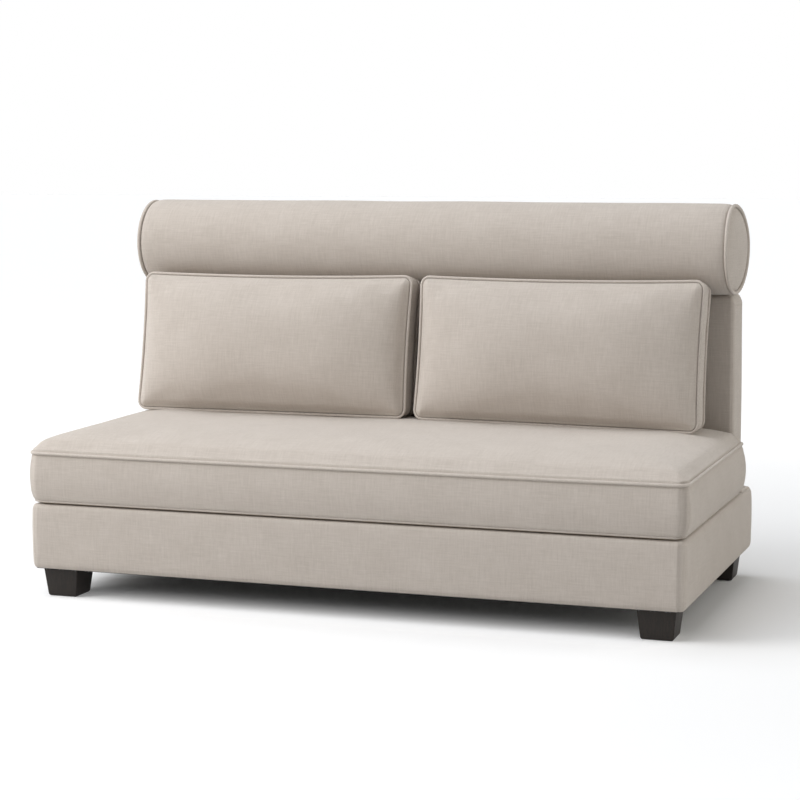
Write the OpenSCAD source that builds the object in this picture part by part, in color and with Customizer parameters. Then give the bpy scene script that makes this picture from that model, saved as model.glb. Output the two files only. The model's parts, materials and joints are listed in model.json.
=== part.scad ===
/* [Base] */
// Width of the upholstered base
base_w = 1886; // [1600:2:2100]
// Depth of the upholstered base, front to rear
base_d = 1005; // [960:5:1060]
// Height of the base's underside above the floor
foot_h = 84; // [60:1:120]
// Height of the upholstered base box
base_h = 184; // [150:1:240]
// Radius of the base's upright corners
base_r = 24; // [16:1:36]
// Thickness of the base's padded covering
base_cover_t = 8; // [5:1:12]
// Thickness of the base's boards
rail_t = 25; // [18:1:30]
// Thickness of the deck board over the base
deck_t = 9; // [6:1:12]
// Thickness of the fabric laid over the rear ledge
ledge_cover_t = 1.5; // [1:0.5:3]

/* [Feet] */
// Width of a foot at its top
foot_top = 106; // [90:1:120]
// Width of a foot at the floor
foot_bottom = 88; // [70:1:100]
// Distance of a foot's top from the base's sides
foot_inset = 27; // [20:1:40]
// Chamfer round the foot's lower edge
foot_chamfer = 3; // [1:0.5:5]
// Height of the plastic glide under a foot
glide_h = 2.5; // [2:0.5:4]
// Diameter of the glide
glide_d = 34; // [25:1:45]

/* [Seat] */
// Depth of the rear ledge that the base leaves behind the seat block
rear_ledge = 192; // [170:1:240]
// Height of the seat block from its underside to the piping
seat_h = 140; // [110:1:180]
// Rise of the crown above the piping
seat_crown = 56; // [30:1:70]
// Radius of the seat block's upright corners
seat_r = 38; // [28:1:60]
// Gap between the base and the seat block
shadow_gap = 4; // [3:0.5:8]
// Overhang of the seat block past the base's front and ends
seat_over = 7; // [4:1:12]
// Diameter of the covered cord in every piped seam
pipe_d = 11; // [8:0.5:14]

/* [Backrest] */
// Distance of the backrest's ends from the base's ends
back_in = 29; // [24:1:40]
// Height of the backrest's top above the floor
back_top = 852; // [780:1:900]
// Radius of the backrest's upper edges
back_r = 16; // [10:1:30]
// Gap between the seat block and the backrest
back_gap = 8; // [5:1:14]
// Gap between the rear ledge and the backrest's round lower end
back_clear = 4; // [3:0.5:8]

/* [Head roll] */
// Diameter of the head roll
roll_d = 264; // [220:2:300]
// Overhang of the head roll past the backrest's ends, without its end pipings
roll_over = 5; // [0:1:15]
// Rise of the roll's domed ends
roll_dome = 14; // [8:1:24]
// How far the roll's centre line stands ahead of the backrest's middle
roll_ahead = 76; // [60:1:90]
// Length of a post in its sleeve
post_in = 96; // [70:1:120]
// Diameter of a post
post_d = 16; // [12:1:20]

/* [Loose cushions] */
// Distance from the backrest's end to a cushion's outer side
cush_in = 52; // [30:1:90]
// Height of a cushion
cush_h = 412; // [340:2:440]
// Depth of the band between a cushion's two piped seams
cush_t = 108; // [80:1:130]
// Rise of a cushion's crowned faces
cush_crown = 26; // [15:1:40]
// Gap between the two cushions
cush_gap = 12; // [6:1:20]
// Angle the cushions lean back
cush_lean = 10; // [4:0.5:14]
// Distance from the backrest to the middle of a cushion's lower edge
cush_ahead = 209; // [180:1:230]

/* [Bed support] */
// Diameter of the support legs' tube
leg_d = 25; // [20:1:30]
// Distance between the two support legs
leg_span = 1240; // [900:10:1400]
// Height of the legs' pivots above the backrest's pivot
leg_up = 440; // [380:5:480]
// Clearance of the support legs above the floor
leg_clear = 2; // [1:0.5:4]

/* [Hinges] */
// Diameter of the hinge pins
pin_d = 16; // [12:1:20]
// Thickness of the hinge plates
plate_t = 5; // [4:0.5:8]
// Width of the base's hinge brackets
bracket_w = 64; // [50:1:80]
// Diameter of the round ratchet housings
ratchet_d = 84; // [70:1:100]

/* [Hidden] */
$fn = 48;

// Small sizes that several pieces share
cut = 1;
fabric_t = 3;
soft_gap = 0.3;
run_gap = 0.08;
pipe_r = pipe_d / 2;

// Widths of the parts above the base
seat_w = base_w + 2 * seat_over;
back_w = base_w - 2 * back_in;
roll_l = back_w + 2 * roll_over;
cush_w = (back_w - cush_gap) / 2 - cush_in;

// Colours of the real object
linen = [0.70, 0.66, 0.61];
linen_piping = [0.67, 0.63, 0.58];
espresso = [0.10, 0.08, 0.07];
timber = [0.76, 0.62, 0.44];
foam = [0.93, 0.90, 0.78];
steel = [0.55, 0.56, 0.58];
black_steel = [0.12, 0.12, 0.13];
plastic = [0.16, 0.16, 0.16];

// Levels above the floor
base_z0 = foot_h;
base_z1 = base_z0 + base_h;
ledge_z = base_z1 + ledge_cover_t;
seat_z0 = base_z1 + shadow_gap;
seat_z1 = seat_z0 + seat_h;

// Places from front to rear, counted from the seat block's front
base_front = seat_over;
base_rear = base_front + base_d;
seat_d = base_rear - rear_ledge;
seat_rear = seat_d;
back_front = seat_rear + back_gap;
back_z0 = ledge_z + back_clear;
back_t = seat_z1 - back_z0;
pivot_y = back_front + back_t / 2;
pivot_z = back_z0 + back_t / 2;
back_rear = back_front + back_t;

// Support legs behind the backrest
leg_gap = 4;
leg_y = back_rear + leg_gap + leg_d / 2;
leg_z = pivot_z + leg_up;
rear_most = max(base_rear, leg_y + leg_d / 2);

// The origin lies on the floor under the middle of the outline
shift_y = -rear_most / 2;

module place_y() {
    translate([0, shift_y, 0]) children();
}

// Both ends of a piece that is mirrored about the middle
module both_sides() {
    children();
    mirror([1, 0, 0]) children();
}

// Slab with round upright corners, centred on its width, from y = 0 to its depth
module slab(w, d, h, r) {
    linear_extrude(height = h) slab_outline(w, d, r);
}

module slab_outline(w, d, r) {
    translate([-w / 2 + r, 0]) square([w - 2 * r, d]);
    translate([-w / 2, r]) square([w, d - 2 * r]);
    for (x = [-w / 2 + r, w / 2 - r], y = [r, d - r]) translate([x, y]) circle(r = r);
}

// Soft block made of outline rings: each ring has an inset, a height and a bow of its sides
ring_corner_steps = 3;
ring_round_share = 0.9;
function ring_side(n, i, a, b, bow) = [a[0] + (b[0] - a[0]) * i / n, a[1] + (b[1] - a[1]) * i / n]
    - bow * sin(180 * i / n) * [(b[1] - a[1]) / norm(b - a), -(b[0] - a[0]) / norm(b - a)];
function ring_corner(cx, cy, r, start) = [
    for (i = [0:ring_corner_steps]) let (t = start + 90 * i / ring_corner_steps)
        [cx + r * cos(t), cy + r * sin(t)]
];
function ring_points(hw, hd, full_r, bow, nx, ny) =
    let (
        r = min(full_r, ring_round_share * min(hw, hd)),
        c1 = ring_corner(hw - r, hd - r, r, 0),
        c2 = ring_corner(-hw + r, hd - r, r, 90),
        c3 = ring_corner(-hw + r, -hd + r, r, 180),
        c4 = ring_corner(hw - r, -hd + r, r, 270),
        k = ring_corner_steps
    )
    concat(
        c1, [for (i = [1:nx - 1]) ring_side(nx, i, c1[k], c2[0], bow)],
        c2, [for (i = [1:ny - 1]) ring_side(ny, i, c2[k], c3[0], bow)],
        c3, [for (i = [1:nx - 1]) ring_side(nx, i, c3[k], c4[0], bow)],
        c4, [for (i = [1:ny - 1]) ring_side(ny, i, c4[k], c1[0], bow)]
    );

// rings: [inset, height, corner radius]; wall draws the whole form in by that much
module soft_block(w, d, rings, bow, nx, ny, wall = 0) {
    count = 4 * (ring_corner_steps + 1) + 2 * (nx - 1) + 2 * (ny - 1);
    last = len(rings) - 1;
    mid = (rings[0][1] + rings[last][1]) / 2;
    span = rings[last][1] - rings[0][1];
    shrink = (span - 2 * wall) / span;
    points = concat(
        [
            for (ring = rings)
                for (p = ring_points(
                    w / 2 - ring[0] - wall, d / 2 - ring[0] - wall, ring[2], bow, nx, ny
                ))
                    [p[0], p[1], mid + (ring[1] - mid) * shrink]
        ],
        [for (k = [0, last]) [0, 0, mid + (rings[k][1] - mid) * shrink]]
    );
    low_mid = (last + 1) * count;
    top_mid = low_mid + 1;
    sides = [
        for (k = [0:last - 1], i = [0:count - 1])
            let (a = k * count + i, b = k * count + (i + 1) % count)
                each [[a, b + count, b], [a, a + count, b + count]]
    ];
    caps = [
        for (i = [0:count - 1])
            let (j = (i + 1) % count)
                each [[i, j, low_mid], [last * count + j, last * count + i, top_mid]]
    ];
    polyhedron(points = points, faces = concat(sides, caps));
}

// Piping cord round an outline that lies level, centred on the origin
module piping_loop(w, d, r, cord_r) {
    both_sides() for (s = [-1, 1]) {
        translate([w / 2 - r, s * (d / 2 - r), 0]) rotate([0, 0, s > 0 ? 0 : -90])
            rotate_extrude(angle = 90) translate([r, 0]) circle(r = cord_r, $fn = 24);
        translate([0, s * d / 2, 0]) rotate([0, 90, 0])
            cylinder(r = cord_r, h = w / 2 - r, $fn = 24);
    }
    both_sides() translate([w / 2, -d / 2 + r, 0]) rotate([-90, 0, 0])
        cylinder(r = cord_r, h = d - 2 * r, $fn = 24);
}

// Base: boards, rails, deck and covers
frame_w = base_w - 2 * base_cover_t;
frame_d = base_d - 2 * base_cover_t;
frame_front = base_front + base_cover_t;
frame_rear = frame_front + frame_d;
frame_r = base_r - base_cover_t;
sheet_t = 1.5;
rail_z0 = base_z0 + sheet_t;
rail_z1 = base_z1 - deck_t;
cross_rail_w = 45;
cross_rail_h = 70;
cross_rail_count = 3;
block_size = 153.6;

module base_front_board() {
    color(timber) place_y() translate([-frame_w / 2 + frame_r, frame_front, rail_z0])
        cube([frame_w - 2 * frame_r, rail_t, rail_z1 - rail_z0]);
}

module base_rear_board() {
    color(timber) place_y() translate([-frame_w / 2 + frame_r, frame_rear - rail_t, rail_z0])
        cube([frame_w - 2 * frame_r, rail_t, rail_z1 - rail_z0]);
}

module base_side_boards() {
    color(timber) place_y() difference() {
        both_sides() translate([frame_w / 2 - rail_t, frame_front + rail_t, rail_z0])
            cube([rail_t, frame_d - 2 * rail_t, rail_z1 - rail_z0]);
        bracket_screw_shanks();
    }
}

module base_cross_rails() {
    gap = (frame_w - 2 * rail_t) / (cross_rail_count + 1);
    color(timber) place_y() for (i = [1:cross_rail_count])
        translate([
            -frame_w / 2 + rail_t + i * gap - cross_rail_w / 2,
            frame_front + rail_t,
            rail_z1 - cross_rail_h
        ])
            cube([cross_rail_w, frame_d - 2 * rail_t, cross_rail_h]);
}

// Triangular blocks that take the feet's bolts
foot_x = base_w / 2 - foot_inset - foot_top / 2;
foot_y_front = base_front + foot_inset + foot_top / 2;
foot_y_rear = base_rear - foot_inset - foot_top / 2;
block_h = 60;
bolt_d = 8;
bolt_in_block = 48;
bolt_in_foot = 50;

module at_feet() {
    for (sx = [-1, 1], y = [foot_y_front, foot_y_rear]) translate([sx * foot_x, y, 0]) children();
}

module base_corner_blocks() {
    color(timber) place_y() difference() {
        both_sides() for (s = [0, 1])
            translate([
                frame_w / 2 - rail_t,
                s == 0 ? frame_front + rail_t : frame_rear - rail_t,
                rail_z0
            ])
                mirror([0, s, 0]) linear_extrude(height = block_h)
                    polygon([[0, 0], [-block_size, 0], [0, block_size]]);
        at_feet() translate([0, 0, rail_z0 - cut])
            cylinder(d = bolt_d, h = bolt_in_block + cut - sheet_t);
    }
}

module base_deck() {
    color(timber) place_y() difference() {
        translate([0, frame_front, rail_z1]) slab(frame_w, frame_d, deck_t, frame_r);
        bracket_screw_shanks();
    }
}

module base_dust_sheet() {
    color(plastic) place_y() difference() {
        translate([0, frame_front, base_z0]) slab(frame_w, frame_d, sheet_t, frame_r);
        at_feet() translate([0, 0, base_z0 - cut]) cylinder(d = bolt_d, h = sheet_t + 2 * cut);
    }
}

// One side of the padded band round the base, mitred to its neighbours
module base_band(side) {
    color(linen) place_y() translate([0, base_front, base_z0])
        linear_extrude(height = base_h) intersection() {
            difference() {
                slab_outline(base_w, base_d, base_r);
                translate([0, base_cover_t]) slab_outline(frame_w, frame_d, frame_r);
            }
            if (side == "front") polygon([
                [-base_w / 2, 0], [base_w / 2, 0],
                [base_w / 2 - base_d / 2, base_d / 2], [-base_w / 2 + base_d / 2, base_d / 2],
            ]);
            if (side == "rear") polygon([
                [-base_w / 2, base_d], [base_w / 2, base_d],
                [base_w / 2 - base_d / 2, base_d / 2], [-base_w / 2 + base_d / 2, base_d / 2],
            ]);
            if (side == "left")
                polygon([[-base_w / 2, 0], [-base_w / 2 + base_d / 2, base_d / 2], [-base_w / 2, base_d]]);
            if (side == "right")
                polygon([[base_w / 2, 0], [base_w / 2 - base_d / 2, base_d / 2], [base_w / 2, base_d]]);
        }
}

module base_front_cover() base_band("front");
module base_rear_cover() base_band("rear");
module base_left_cover() base_band("left");
module base_right_cover() base_band("right");

module rear_ledge_cover() {
    color(linen) place_y() difference() {
        intersection() {
            translate([0, base_front, base_z1]) slab(base_w, base_d, ledge_cover_t, base_r);
            translate([-base_w / 2, seat_rear + soft_gap, base_z1])
                cube([base_w, base_rear - seat_rear, ledge_cover_t]);
        }
        bracket_screw_shanks();
    }
}

// Feet: four-sided blocks that taper to the floor
foot_top_z = base_z0;
glide_recess = 1.5;

module foot() {
    difference() {
        hull() {
            translate([0, 0, foot_top_z - cut / 2]) cube([foot_top, foot_top, cut], center = true);
            translate([0, 0, glide_h + foot_chamfer])
                cube([foot_bottom, foot_bottom, cut], center = true);
            translate([0, 0, glide_h - glide_recess + cut / 2])
                cube([
                    foot_bottom - 2 * foot_chamfer, foot_bottom - 2 * foot_chamfer, cut
                ], center = true);
        }
        translate([0, 0, foot_top_z - bolt_in_foot]) cylinder(d = bolt_d, h = bolt_in_foot + cut);
        translate([0, 0, -cut]) cylinder(d = glide_d, h = glide_h + cut);
    }
}

module foot_at(sx, y) {
    color(espresso) place_y() translate([sx * foot_x, y, 0]) foot();
}

module foot_front_left() foot_at(-1, foot_y_front);
module foot_front_right() foot_at(1, foot_y_front);
module foot_rear_left() foot_at(-1, foot_y_rear);
module foot_rear_right() foot_at(1, foot_y_rear);

module foot_bolts() {
    color(steel) place_y() at_feet() translate([0, 0, foot_top_z - bolt_in_foot])
        cylinder(d = bolt_d, h = bolt_in_foot + bolt_in_block);
}

module foot_glides() {
    color(plastic) place_y() at_feet() cylinder(d = glide_d, h = glide_h);
}

// Seat block: board, springs, foam, cover and piping
strip_w = 40;
strip_count = 3;
seat_tuck = 20;
board_t = 12;
board_inset = seat_tuck + fabric_t + soft_gap;
spring_d = 110;
spring_pitch = 124;
spring_h = 78;
spring_border = 84;
seat_mid_y = seat_d / 2;
seat_steps_x = 8;
seat_steps_y = 4;
// Insets and heights of the seat's rings, as shares of the tuck, the height and the crown
seat_ring_shares = [
    [1, 0, 0], [0.45, 0.03, 0], [0.12, 0.16, 0], [0, 0.5, 0], [0.12, 0.85, 0], [0.3, 1, 0],
    [0.95, 1, 0.24], [2.2, 1, 0.45], [4.6, 1, 0.67], [8, 1, 0.85], [12.5, 1, 0.96], [17, 1, 1],
];
seat_rings = [
    for (s = seat_ring_shares)
        [s[0] * seat_tuck, s[1] * seat_h + s[2] * seat_crown, seat_r + s[2] * seat_r]
];

// Height of the seat block at a distance in from its rear edge
crown_table = [for (r = seat_rings) if (r[1] >= seat_h) [r[0], r[1]]];
function seat_height_at(inset) = lookup(inset, crown_table);

module seat_form(wall) {
    translate([0, seat_mid_y, seat_z0])
        soft_block(seat_w, seat_d, seat_rings, 0, seat_steps_x, seat_steps_y, wall);
}

module anti_slip_strips() {
    run = seat_w - 4 * board_inset;
    color(plastic) place_y() for (i = [1:strip_count])
        translate([-run / 2, i * seat_d / (strip_count + 1) - strip_w / 2, base_z1])
            cube([run, strip_w, shadow_gap]);
}

module seat_board() {
    color(timber) place_y() translate([0, board_inset, seat_z0])
        slab(seat_w - 2 * board_inset, seat_d - 2 * board_inset, board_t, seat_r - board_inset / 2);
}

spring_cols = floor((seat_w - 2 * spring_border) / spring_pitch);
spring_rows = floor((seat_d - 2 * spring_border) / spring_pitch);
spring_z0 = seat_z0 + board_t;

module seat_springs() {
    color(foam) place_y() for (i = [0:spring_cols - 1], j = [0:spring_rows - 1])
        translate([
            (i - (spring_cols - 1) / 2) * spring_pitch,
            seat_mid_y + (j - (spring_rows - 1) / 2) * spring_pitch,
            spring_z0
        ])
            cylinder(d = spring_d, h = spring_h, $fn = 24);
}

module seat_foam() {
    color(foam) place_y() difference() {
        seat_form(fabric_t + soft_gap);
        translate([-seat_w / 2, 0, seat_z0 - cut]) cube([seat_w, seat_d, board_t + cut]);
        translate([
            -spring_cols * spring_pitch / 2, seat_mid_y - spring_rows * spring_pitch / 2,
            spring_z0 - cut
        ])
            cube([spring_cols * spring_pitch, spring_rows * spring_pitch, spring_h + cut]);
    }
}

module seat_cover() {
    color(linen) place_y() difference() {
        seat_form(0);
        seat_form(fabric_t);
        translate([0, seat_tuck + fabric_t, seat_z0 - cut])
            slab(
                seat_w - 2 * seat_tuck - 2 * fabric_t, seat_d - 2 * seat_tuck - 2 * fabric_t,
                board_t, seat_r - board_inset / 2
            );
    }
}

module seat_piping() {
    color(linen_piping) place_y() difference() {
        translate([0, seat_mid_y, seat_z1])
            piping_loop(seat_w - pipe_d, seat_d - pipe_d, seat_r - pipe_r, pipe_r);
        seat_form(0);
    }
}

// Backrest: one round lower end about the hinge, two small upper radii
back_frame_t = 60;
back_rail_h = 70;
back_stile_w = 60;
back_front_foam = 36;
back_top_foam = 10;
rear_board_t = 4;
frame_front_y = back_front + fabric_t + back_front_foam;
frame_back_y = frame_front_y + back_frame_t;
web_t = 3;
web_w = 60;
web_count = 9;
side_cover_t = 6;
arm_t = plate_t;
back_core_w = back_w - 2 * side_cover_t;
back_frame_w = back_core_w - 2 * arm_t;
back_rail_z1 = back_top - fabric_t - back_top_foam;

// Section of the backrest drawn in by a wall, front to rear along X and height along Y
module back_section(wall) {
    r = max(back_r - wall, fabric_t);
    translate([pivot_y, pivot_z]) circle(r = back_t / 2 - wall, $fn = 96);
    difference() {
        translate([back_front + wall, pivot_z])
            square([back_t - 2 * wall, back_top - pivot_z - wall]);
        for (s = [-1, 1])
            translate([
                pivot_y + s * (back_t / 2 - wall) - (s > 0 ? r : 0),
                back_top - wall - r
            ])
                square([r + (s > 0 ? cut : 0), r + cut]);
    }
    for (s = [-1, 1])
        translate([pivot_y + s * (back_t / 2 - wall - r), back_top - wall - r]) circle(r = r);
}

module back_prism(wall, w) {
    rotate([90, 0, 90]) translate([0, 0, -w / 2]) linear_extrude(height = w) back_section(wall);
}

module back_rail(z) {
    translate([-back_frame_w / 2, frame_front_y, z]) cube([back_frame_w, back_frame_t, back_rail_h]);
}

// Posts and sleeves of the head roll
roll_r = roll_d / 2;
roll_y = pivot_y - roll_ahead;
roll_z = back_top + soft_gap + roll_r;
post_x_share = 0.3;
post_x = roll_l * post_x_share;
post_in_frame = 20;
post_y = frame_front_y + post_in_frame;
sleeve_wall = 2;
sleeve_d = post_d + 2 * run_gap + 2 * sleeve_wall;
sleeve_len = post_in + sleeve_wall;

module at_posts() {
    both_sides() translate([post_x, post_y, 0]) children();
}

module sleeve_hole(extra) {
    at_posts() translate([0, 0, back_top - sleeve_len]) cylinder(d = sleeve_d + extra, h = sleeve_len + cut);
}

pin_in = 70;

module hinge_pin_hole() {
    both_sides() translate([back_w / 2 + cut, pivot_y, pivot_z]) rotate([0, -90, 0])
        cylinder(d = pin_d, h = side_cover_t + arm_t + pin_in + cut);
}

module back_rails() {
    color(timber) place_y() difference() {
        union() {
            back_rail(pivot_z - back_rail_h / 2);
            back_rail(back_rail_z1 - back_rail_h);
        }
        sleeve_hole(0);
        hinge_pin_hole();
    }
}

stile_count = 5;

module back_stiles() {
    z0 = pivot_z + back_rail_h / 2;
    z1 = back_rail_z1 - back_rail_h;
    color(timber) place_y() difference() {
        for (i = [0:stile_count - 1])
            translate([
                -back_frame_w / 2 + i * (back_frame_w - back_stile_w) / (stile_count - 1),
                frame_front_y, z0
            ])
                cube([back_stile_w, back_frame_t, z1 - z0]);
        sleeve_hole(0);
    }
}

module back_webbing() {
    color(plastic) place_y() for (i = [1:web_count])
        translate([
            -back_frame_w / 2 + i * back_frame_w / (web_count + 1) - web_w / 2,
            frame_front_y - web_t, pivot_z - back_rail_h / 2
        ])
            cube([web_w, web_t, back_rail_z1 - pivot_z + back_rail_h / 2]);
}

module back_foam() {
    color(foam) place_y() difference() {
        back_prism(fabric_t + soft_gap, back_core_w - 2 * arm_t);
        translate([-back_w / 2, frame_front_y - web_t, pivot_z - back_rail_h / 2])
            cube([
                back_w, back_frame_t + web_t + rear_board_t,
                back_rail_z1 - pivot_z + back_rail_h / 2
            ]);
        sleeve_hole(2 * soft_gap);
        hinge_pin_hole();
    }
}

module back_rear_board() {
    color(timber) place_y() translate([-back_frame_w / 2, frame_back_y, pivot_z - back_rail_h / 2])
        cube([back_frame_w, rear_board_t, back_rail_z1 - pivot_z + back_rail_h / 2]);
}

module back_cover() {
    color(linen) place_y() difference() {
        back_prism(0, back_core_w);
        back_prism(fabric_t, back_w);
        sleeve_hole(2 * soft_gap);
    }
}

module back_side_covers() {
    color(linen) place_y() difference() {
        both_sides() translate([back_w / 2 - side_cover_t / 2, 0, 0]) back_prism(0, side_cover_t);
        hinge_pin_hole();
    }
}

// Hinges between the base and the backrest
bracket_gap = 3;
bracket_x = back_w / 2 + bracket_gap;
bush_wall = 3;
bush_d = pin_d + 2 * run_gap + 2 * bush_wall;
bush_flange_t = 2;
bush_flange_reach = 5;
bush_flange_d = bush_d + 2 * bush_flange_reach;
ratchet_t = 8;
arm_w = 50;
arm_h = 120;
bracket_foot = 14;
screw_d = 5;
screw_head_d = 9;
screw_head_h = 2.4;
screw_l = 20;
screw_spread = 36;

module hinge_arms() {
    color(steel) place_y() difference() {
        both_sides() translate([back_core_w / 2 - arm_t, 0, 0]) rotate([90, 0, 90])
            linear_extrude(height = arm_t - soft_gap) {
                translate([pivot_y, pivot_z]) circle(d = arm_w);
                translate([pivot_y - arm_w / 2, pivot_z]) square([arm_w, arm_h]);
            }
        hinge_pin_hole();
    }
}

pin_end_x = bracket_x + plate_t + ratchet_t / 2;

module hinge_pins() {
    color(steel) place_y() both_sides()
        translate([back_w / 2 - side_cover_t - arm_t - pin_in, pivot_y, pivot_z])
            rotate([0, 90, 0])
                cylinder(d = pin_d, h = pin_end_x - back_w / 2 + side_cover_t + arm_t + pin_in);
}

module hinge_brackets() {
    color(black_steel) place_y() both_sides() difference() {
        union() {
            translate([bracket_x, 0, 0]) rotate([90, 0, 90]) linear_extrude(height = plate_t) {
                translate([pivot_y, pivot_z]) circle(d = bracket_w);
                translate([pivot_y - bracket_w / 2, ledge_z]) square([bracket_w, pivot_z - ledge_z]);
            }
            translate([bracket_x, pivot_y - bracket_w / 2, ledge_z])
                cube([plate_t + bracket_foot, bracket_w, plate_t]);
        }
        translate([bracket_x - cut, pivot_y, pivot_z]) rotate([0, 90, 0])
            cylinder(d = bush_d, h = plate_t + 2 * cut);
        for (s = [-1, 1])
            translate([bracket_screw_x, pivot_y + s * screw_spread / 2, ledge_z - cut])
                cylinder(d = screw_d, h = plate_t + 2 * cut);
    }
}

bracket_screw_x = bracket_x + plate_t + bracket_foot / 2;

// Shanks of the brackets' screws, from under their heads into the side boards
module bracket_screw_shanks() {
    both_sides() for (s = [-1, 1])
        translate([
            bracket_screw_x, pivot_y + s * screw_spread / 2, ledge_z + plate_t - screw_l
        ])
            cylinder(d = screw_d, h = screw_l);
}

module bracket_screws() {
    color(steel) place_y() {
        bracket_screw_shanks();
        both_sides() for (s = [-1, 1])
            translate([bracket_screw_x, pivot_y + s * screw_spread / 2, ledge_z + plate_t])
                cylinder(d = screw_head_d, h = screw_head_h);
    }
}

module hinge_bushes() {
    color(plastic) place_y() both_sides() translate([bracket_x, pivot_y, pivot_z])
        rotate([0, 90, 0]) difference() {
            union() {
                translate([0, 0, -bush_flange_t]) cylinder(d = bush_flange_d, h = bush_flange_t);
                cylinder(d = bush_d, h = plate_t);
            }
            translate([0, 0, -bush_flange_t - cut])
                cylinder(d = pin_d + 2 * run_gap, h = plate_t + bush_flange_t + 2 * cut);
        }
}

module ratchet_housings() {
    color(black_steel) place_y() both_sides() translate([bracket_x + plate_t, pivot_y, pivot_z])
        rotate([0, 90, 0]) difference() {
            cylinder(d = ratchet_d, h = ratchet_t);
            translate([0, 0, -cut]) cylinder(d = pin_d + 4 * run_gap, h = ratchet_t / 2 + 2 * cut);
        }
}

module roll_sleeves() {
    color(steel) place_y() at_posts() translate([0, 0, back_top - sleeve_len]) difference() {
        cylinder(d = sleeve_d, h = sleeve_len);
        translate([0, 0, sleeve_wall]) cylinder(d = post_d + 2 * run_gap, h = sleeve_len);
    }
}

// Support legs hinged on the backrest's rear face
leg_len = pivot_z - (leg_y - pivot_y) - leg_clear;
leg_pin_d = 8;
leg_ear_t = 3;
leg_ear_gap = 0.5;
leg_ear_h = 40;
tip_h = 12;
tip_wall = 3;
crossbar_d = 20;
crossbar_up = 60;

module at_legs() {
    for (s = [-1, 1]) translate([s * leg_span / 2, leg_y, leg_z]) children();
}

module leg_brackets() {
    ear_x = leg_d / 2 + leg_ear_gap;
    plate_y = back_rear - leg_y;
    color(black_steel) place_y() at_legs() difference() {
        union() {
            translate([-ear_x - leg_ear_t, plate_y, -leg_ear_h / 2])
                cube([2 * (ear_x + leg_ear_t), leg_ear_t, leg_ear_h]);
            for (s = [-1, 1]) translate([s * (ear_x + leg_ear_t / 2) - leg_ear_t / 2, 0, 0])
                rotate([90, 0, 90]) linear_extrude(height = leg_ear_t) {
                    circle(d = leg_d);
                    translate([plate_y, -leg_d / 2]) square([-plate_y, leg_d]);
                }
        }
        translate([-ear_x - leg_ear_t - cut, 0, 0]) rotate([0, 90, 0])
            cylinder(d = leg_pin_d, h = 2 * (ear_x + leg_ear_t + cut));
    }
}

module support_legs() {
    color(black_steel) place_y() at_legs() difference() {
        translate([0, 0, -leg_len + tip_wall]) cylinder(d = leg_d, h = leg_len - tip_wall);
        translate([-leg_d, 0, 0]) rotate([0, 90, 0])
            cylinder(d = leg_pin_d + 2 * run_gap, h = 2 * leg_d);
    }
}

module support_crossbar() {
    run = leg_span;
    color(black_steel) place_y() difference() {
        translate([-run / 2, leg_y, leg_z - leg_len + crossbar_up]) rotate([0, 90, 0])
            cylinder(d = crossbar_d, h = run);
        at_legs() translate([0, 0, -leg_len]) cylinder(d = leg_d, h = leg_len);
    }
}

module support_leg_pins() {
    ear_x = leg_d / 2 + leg_ear_gap + leg_ear_t;
    color(steel) place_y() at_legs() translate([-ear_x, 0, 0]) rotate([0, 90, 0])
        cylinder(d = leg_pin_d, h = 2 * ear_x);
}

module support_leg_tips() {
    color(plastic) place_y() at_legs() translate([0, 0, -leg_len]) difference() {
        cylinder(d = leg_d + tip_wall / 2, h = tip_h);
        translate([0, 0, tip_wall]) cylinder(d = leg_d, h = tip_h);
    }
}

// Head roll
core_w = 60;
core_h = 110;

module roll_cylinder(r, l) {
    translate([-l / 2, roll_y, roll_z]) rotate([0, 90, 0]) cylinder(r = r, h = l, $fn = 96);
}

core_l = roll_l - 2 * fabric_t - 2 * roll_dome;
pipe_proud = 2;
roll_pipe_ring = roll_r - pipe_r + pipe_proud;

module roll_core() {
    color(timber) place_y() difference() {
        translate([-core_l / 2, post_y - core_w / 2, roll_z - core_h / 2])
            cube([core_l, core_w, core_h]);
        at_posts() translate([0, 0, roll_z - core_h / 2 - cut])
            cylinder(d = post_d, h = core_h + 2 * cut);
    }
}

module roll_foam() {
    color(foam) place_y() difference() {
        roll_cylinder(roll_r - fabric_t, roll_l - 2 * fabric_t);
        translate([-core_l / 2, post_y - core_w / 2, roll_z - core_h / 2])
            cube([core_l, core_w, core_h]);
        at_posts() translate([0, 0, roll_z - roll_d]) cylinder(d = post_d + 2 * soft_gap, h = roll_d);
    }
}

module roll_cover() {
    color(linen) place_y() difference() {
        roll_cylinder(roll_r, roll_l);
        roll_cylinder(roll_r - fabric_t, roll_l + 2 * cut);
        at_posts() translate([0, 0, roll_z - roll_d]) cylinder(d = post_d + 2 * soft_gap, h = roll_d);
    }
}

// Domed end: part of a ball whose edge meets the roll's edge
module roll_end_caps() {
    rim = roll_r - fabric_t;
    ball_r = (rim * rim + roll_dome * roll_dome) / (2 * roll_dome);
    color(linen) place_y() both_sides() translate([roll_l / 2 - fabric_t, roll_y, roll_z])
        rotate([0, 90, 0]) rotate_extrude($fn = 96) difference() {
            intersection() {
                square([rim, roll_dome + fabric_t]);
                translate([0, roll_dome + fabric_t - ball_r]) circle(r = ball_r, $fn = 360);
            }
            translate([roll_pipe_ring, fabric_t + pipe_r]) circle(r = pipe_r, $fn = 24);
        }
}

module roll_piping() {
    color(linen_piping) place_y() both_sides() translate([roll_l / 2 + pipe_r, roll_y, roll_z])
        rotate([0, 90, 0]) rotate_extrude($fn = 96) translate([roll_pipe_ring, 0])
            circle(r = pipe_r, $fn = 24);
}

module roll_posts() {
    color(steel) place_y() at_posts() translate([0, 0, back_top - post_in])
        cylinder(d = post_d, h = roll_z + core_h / 2 - back_top + post_in);
}

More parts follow.
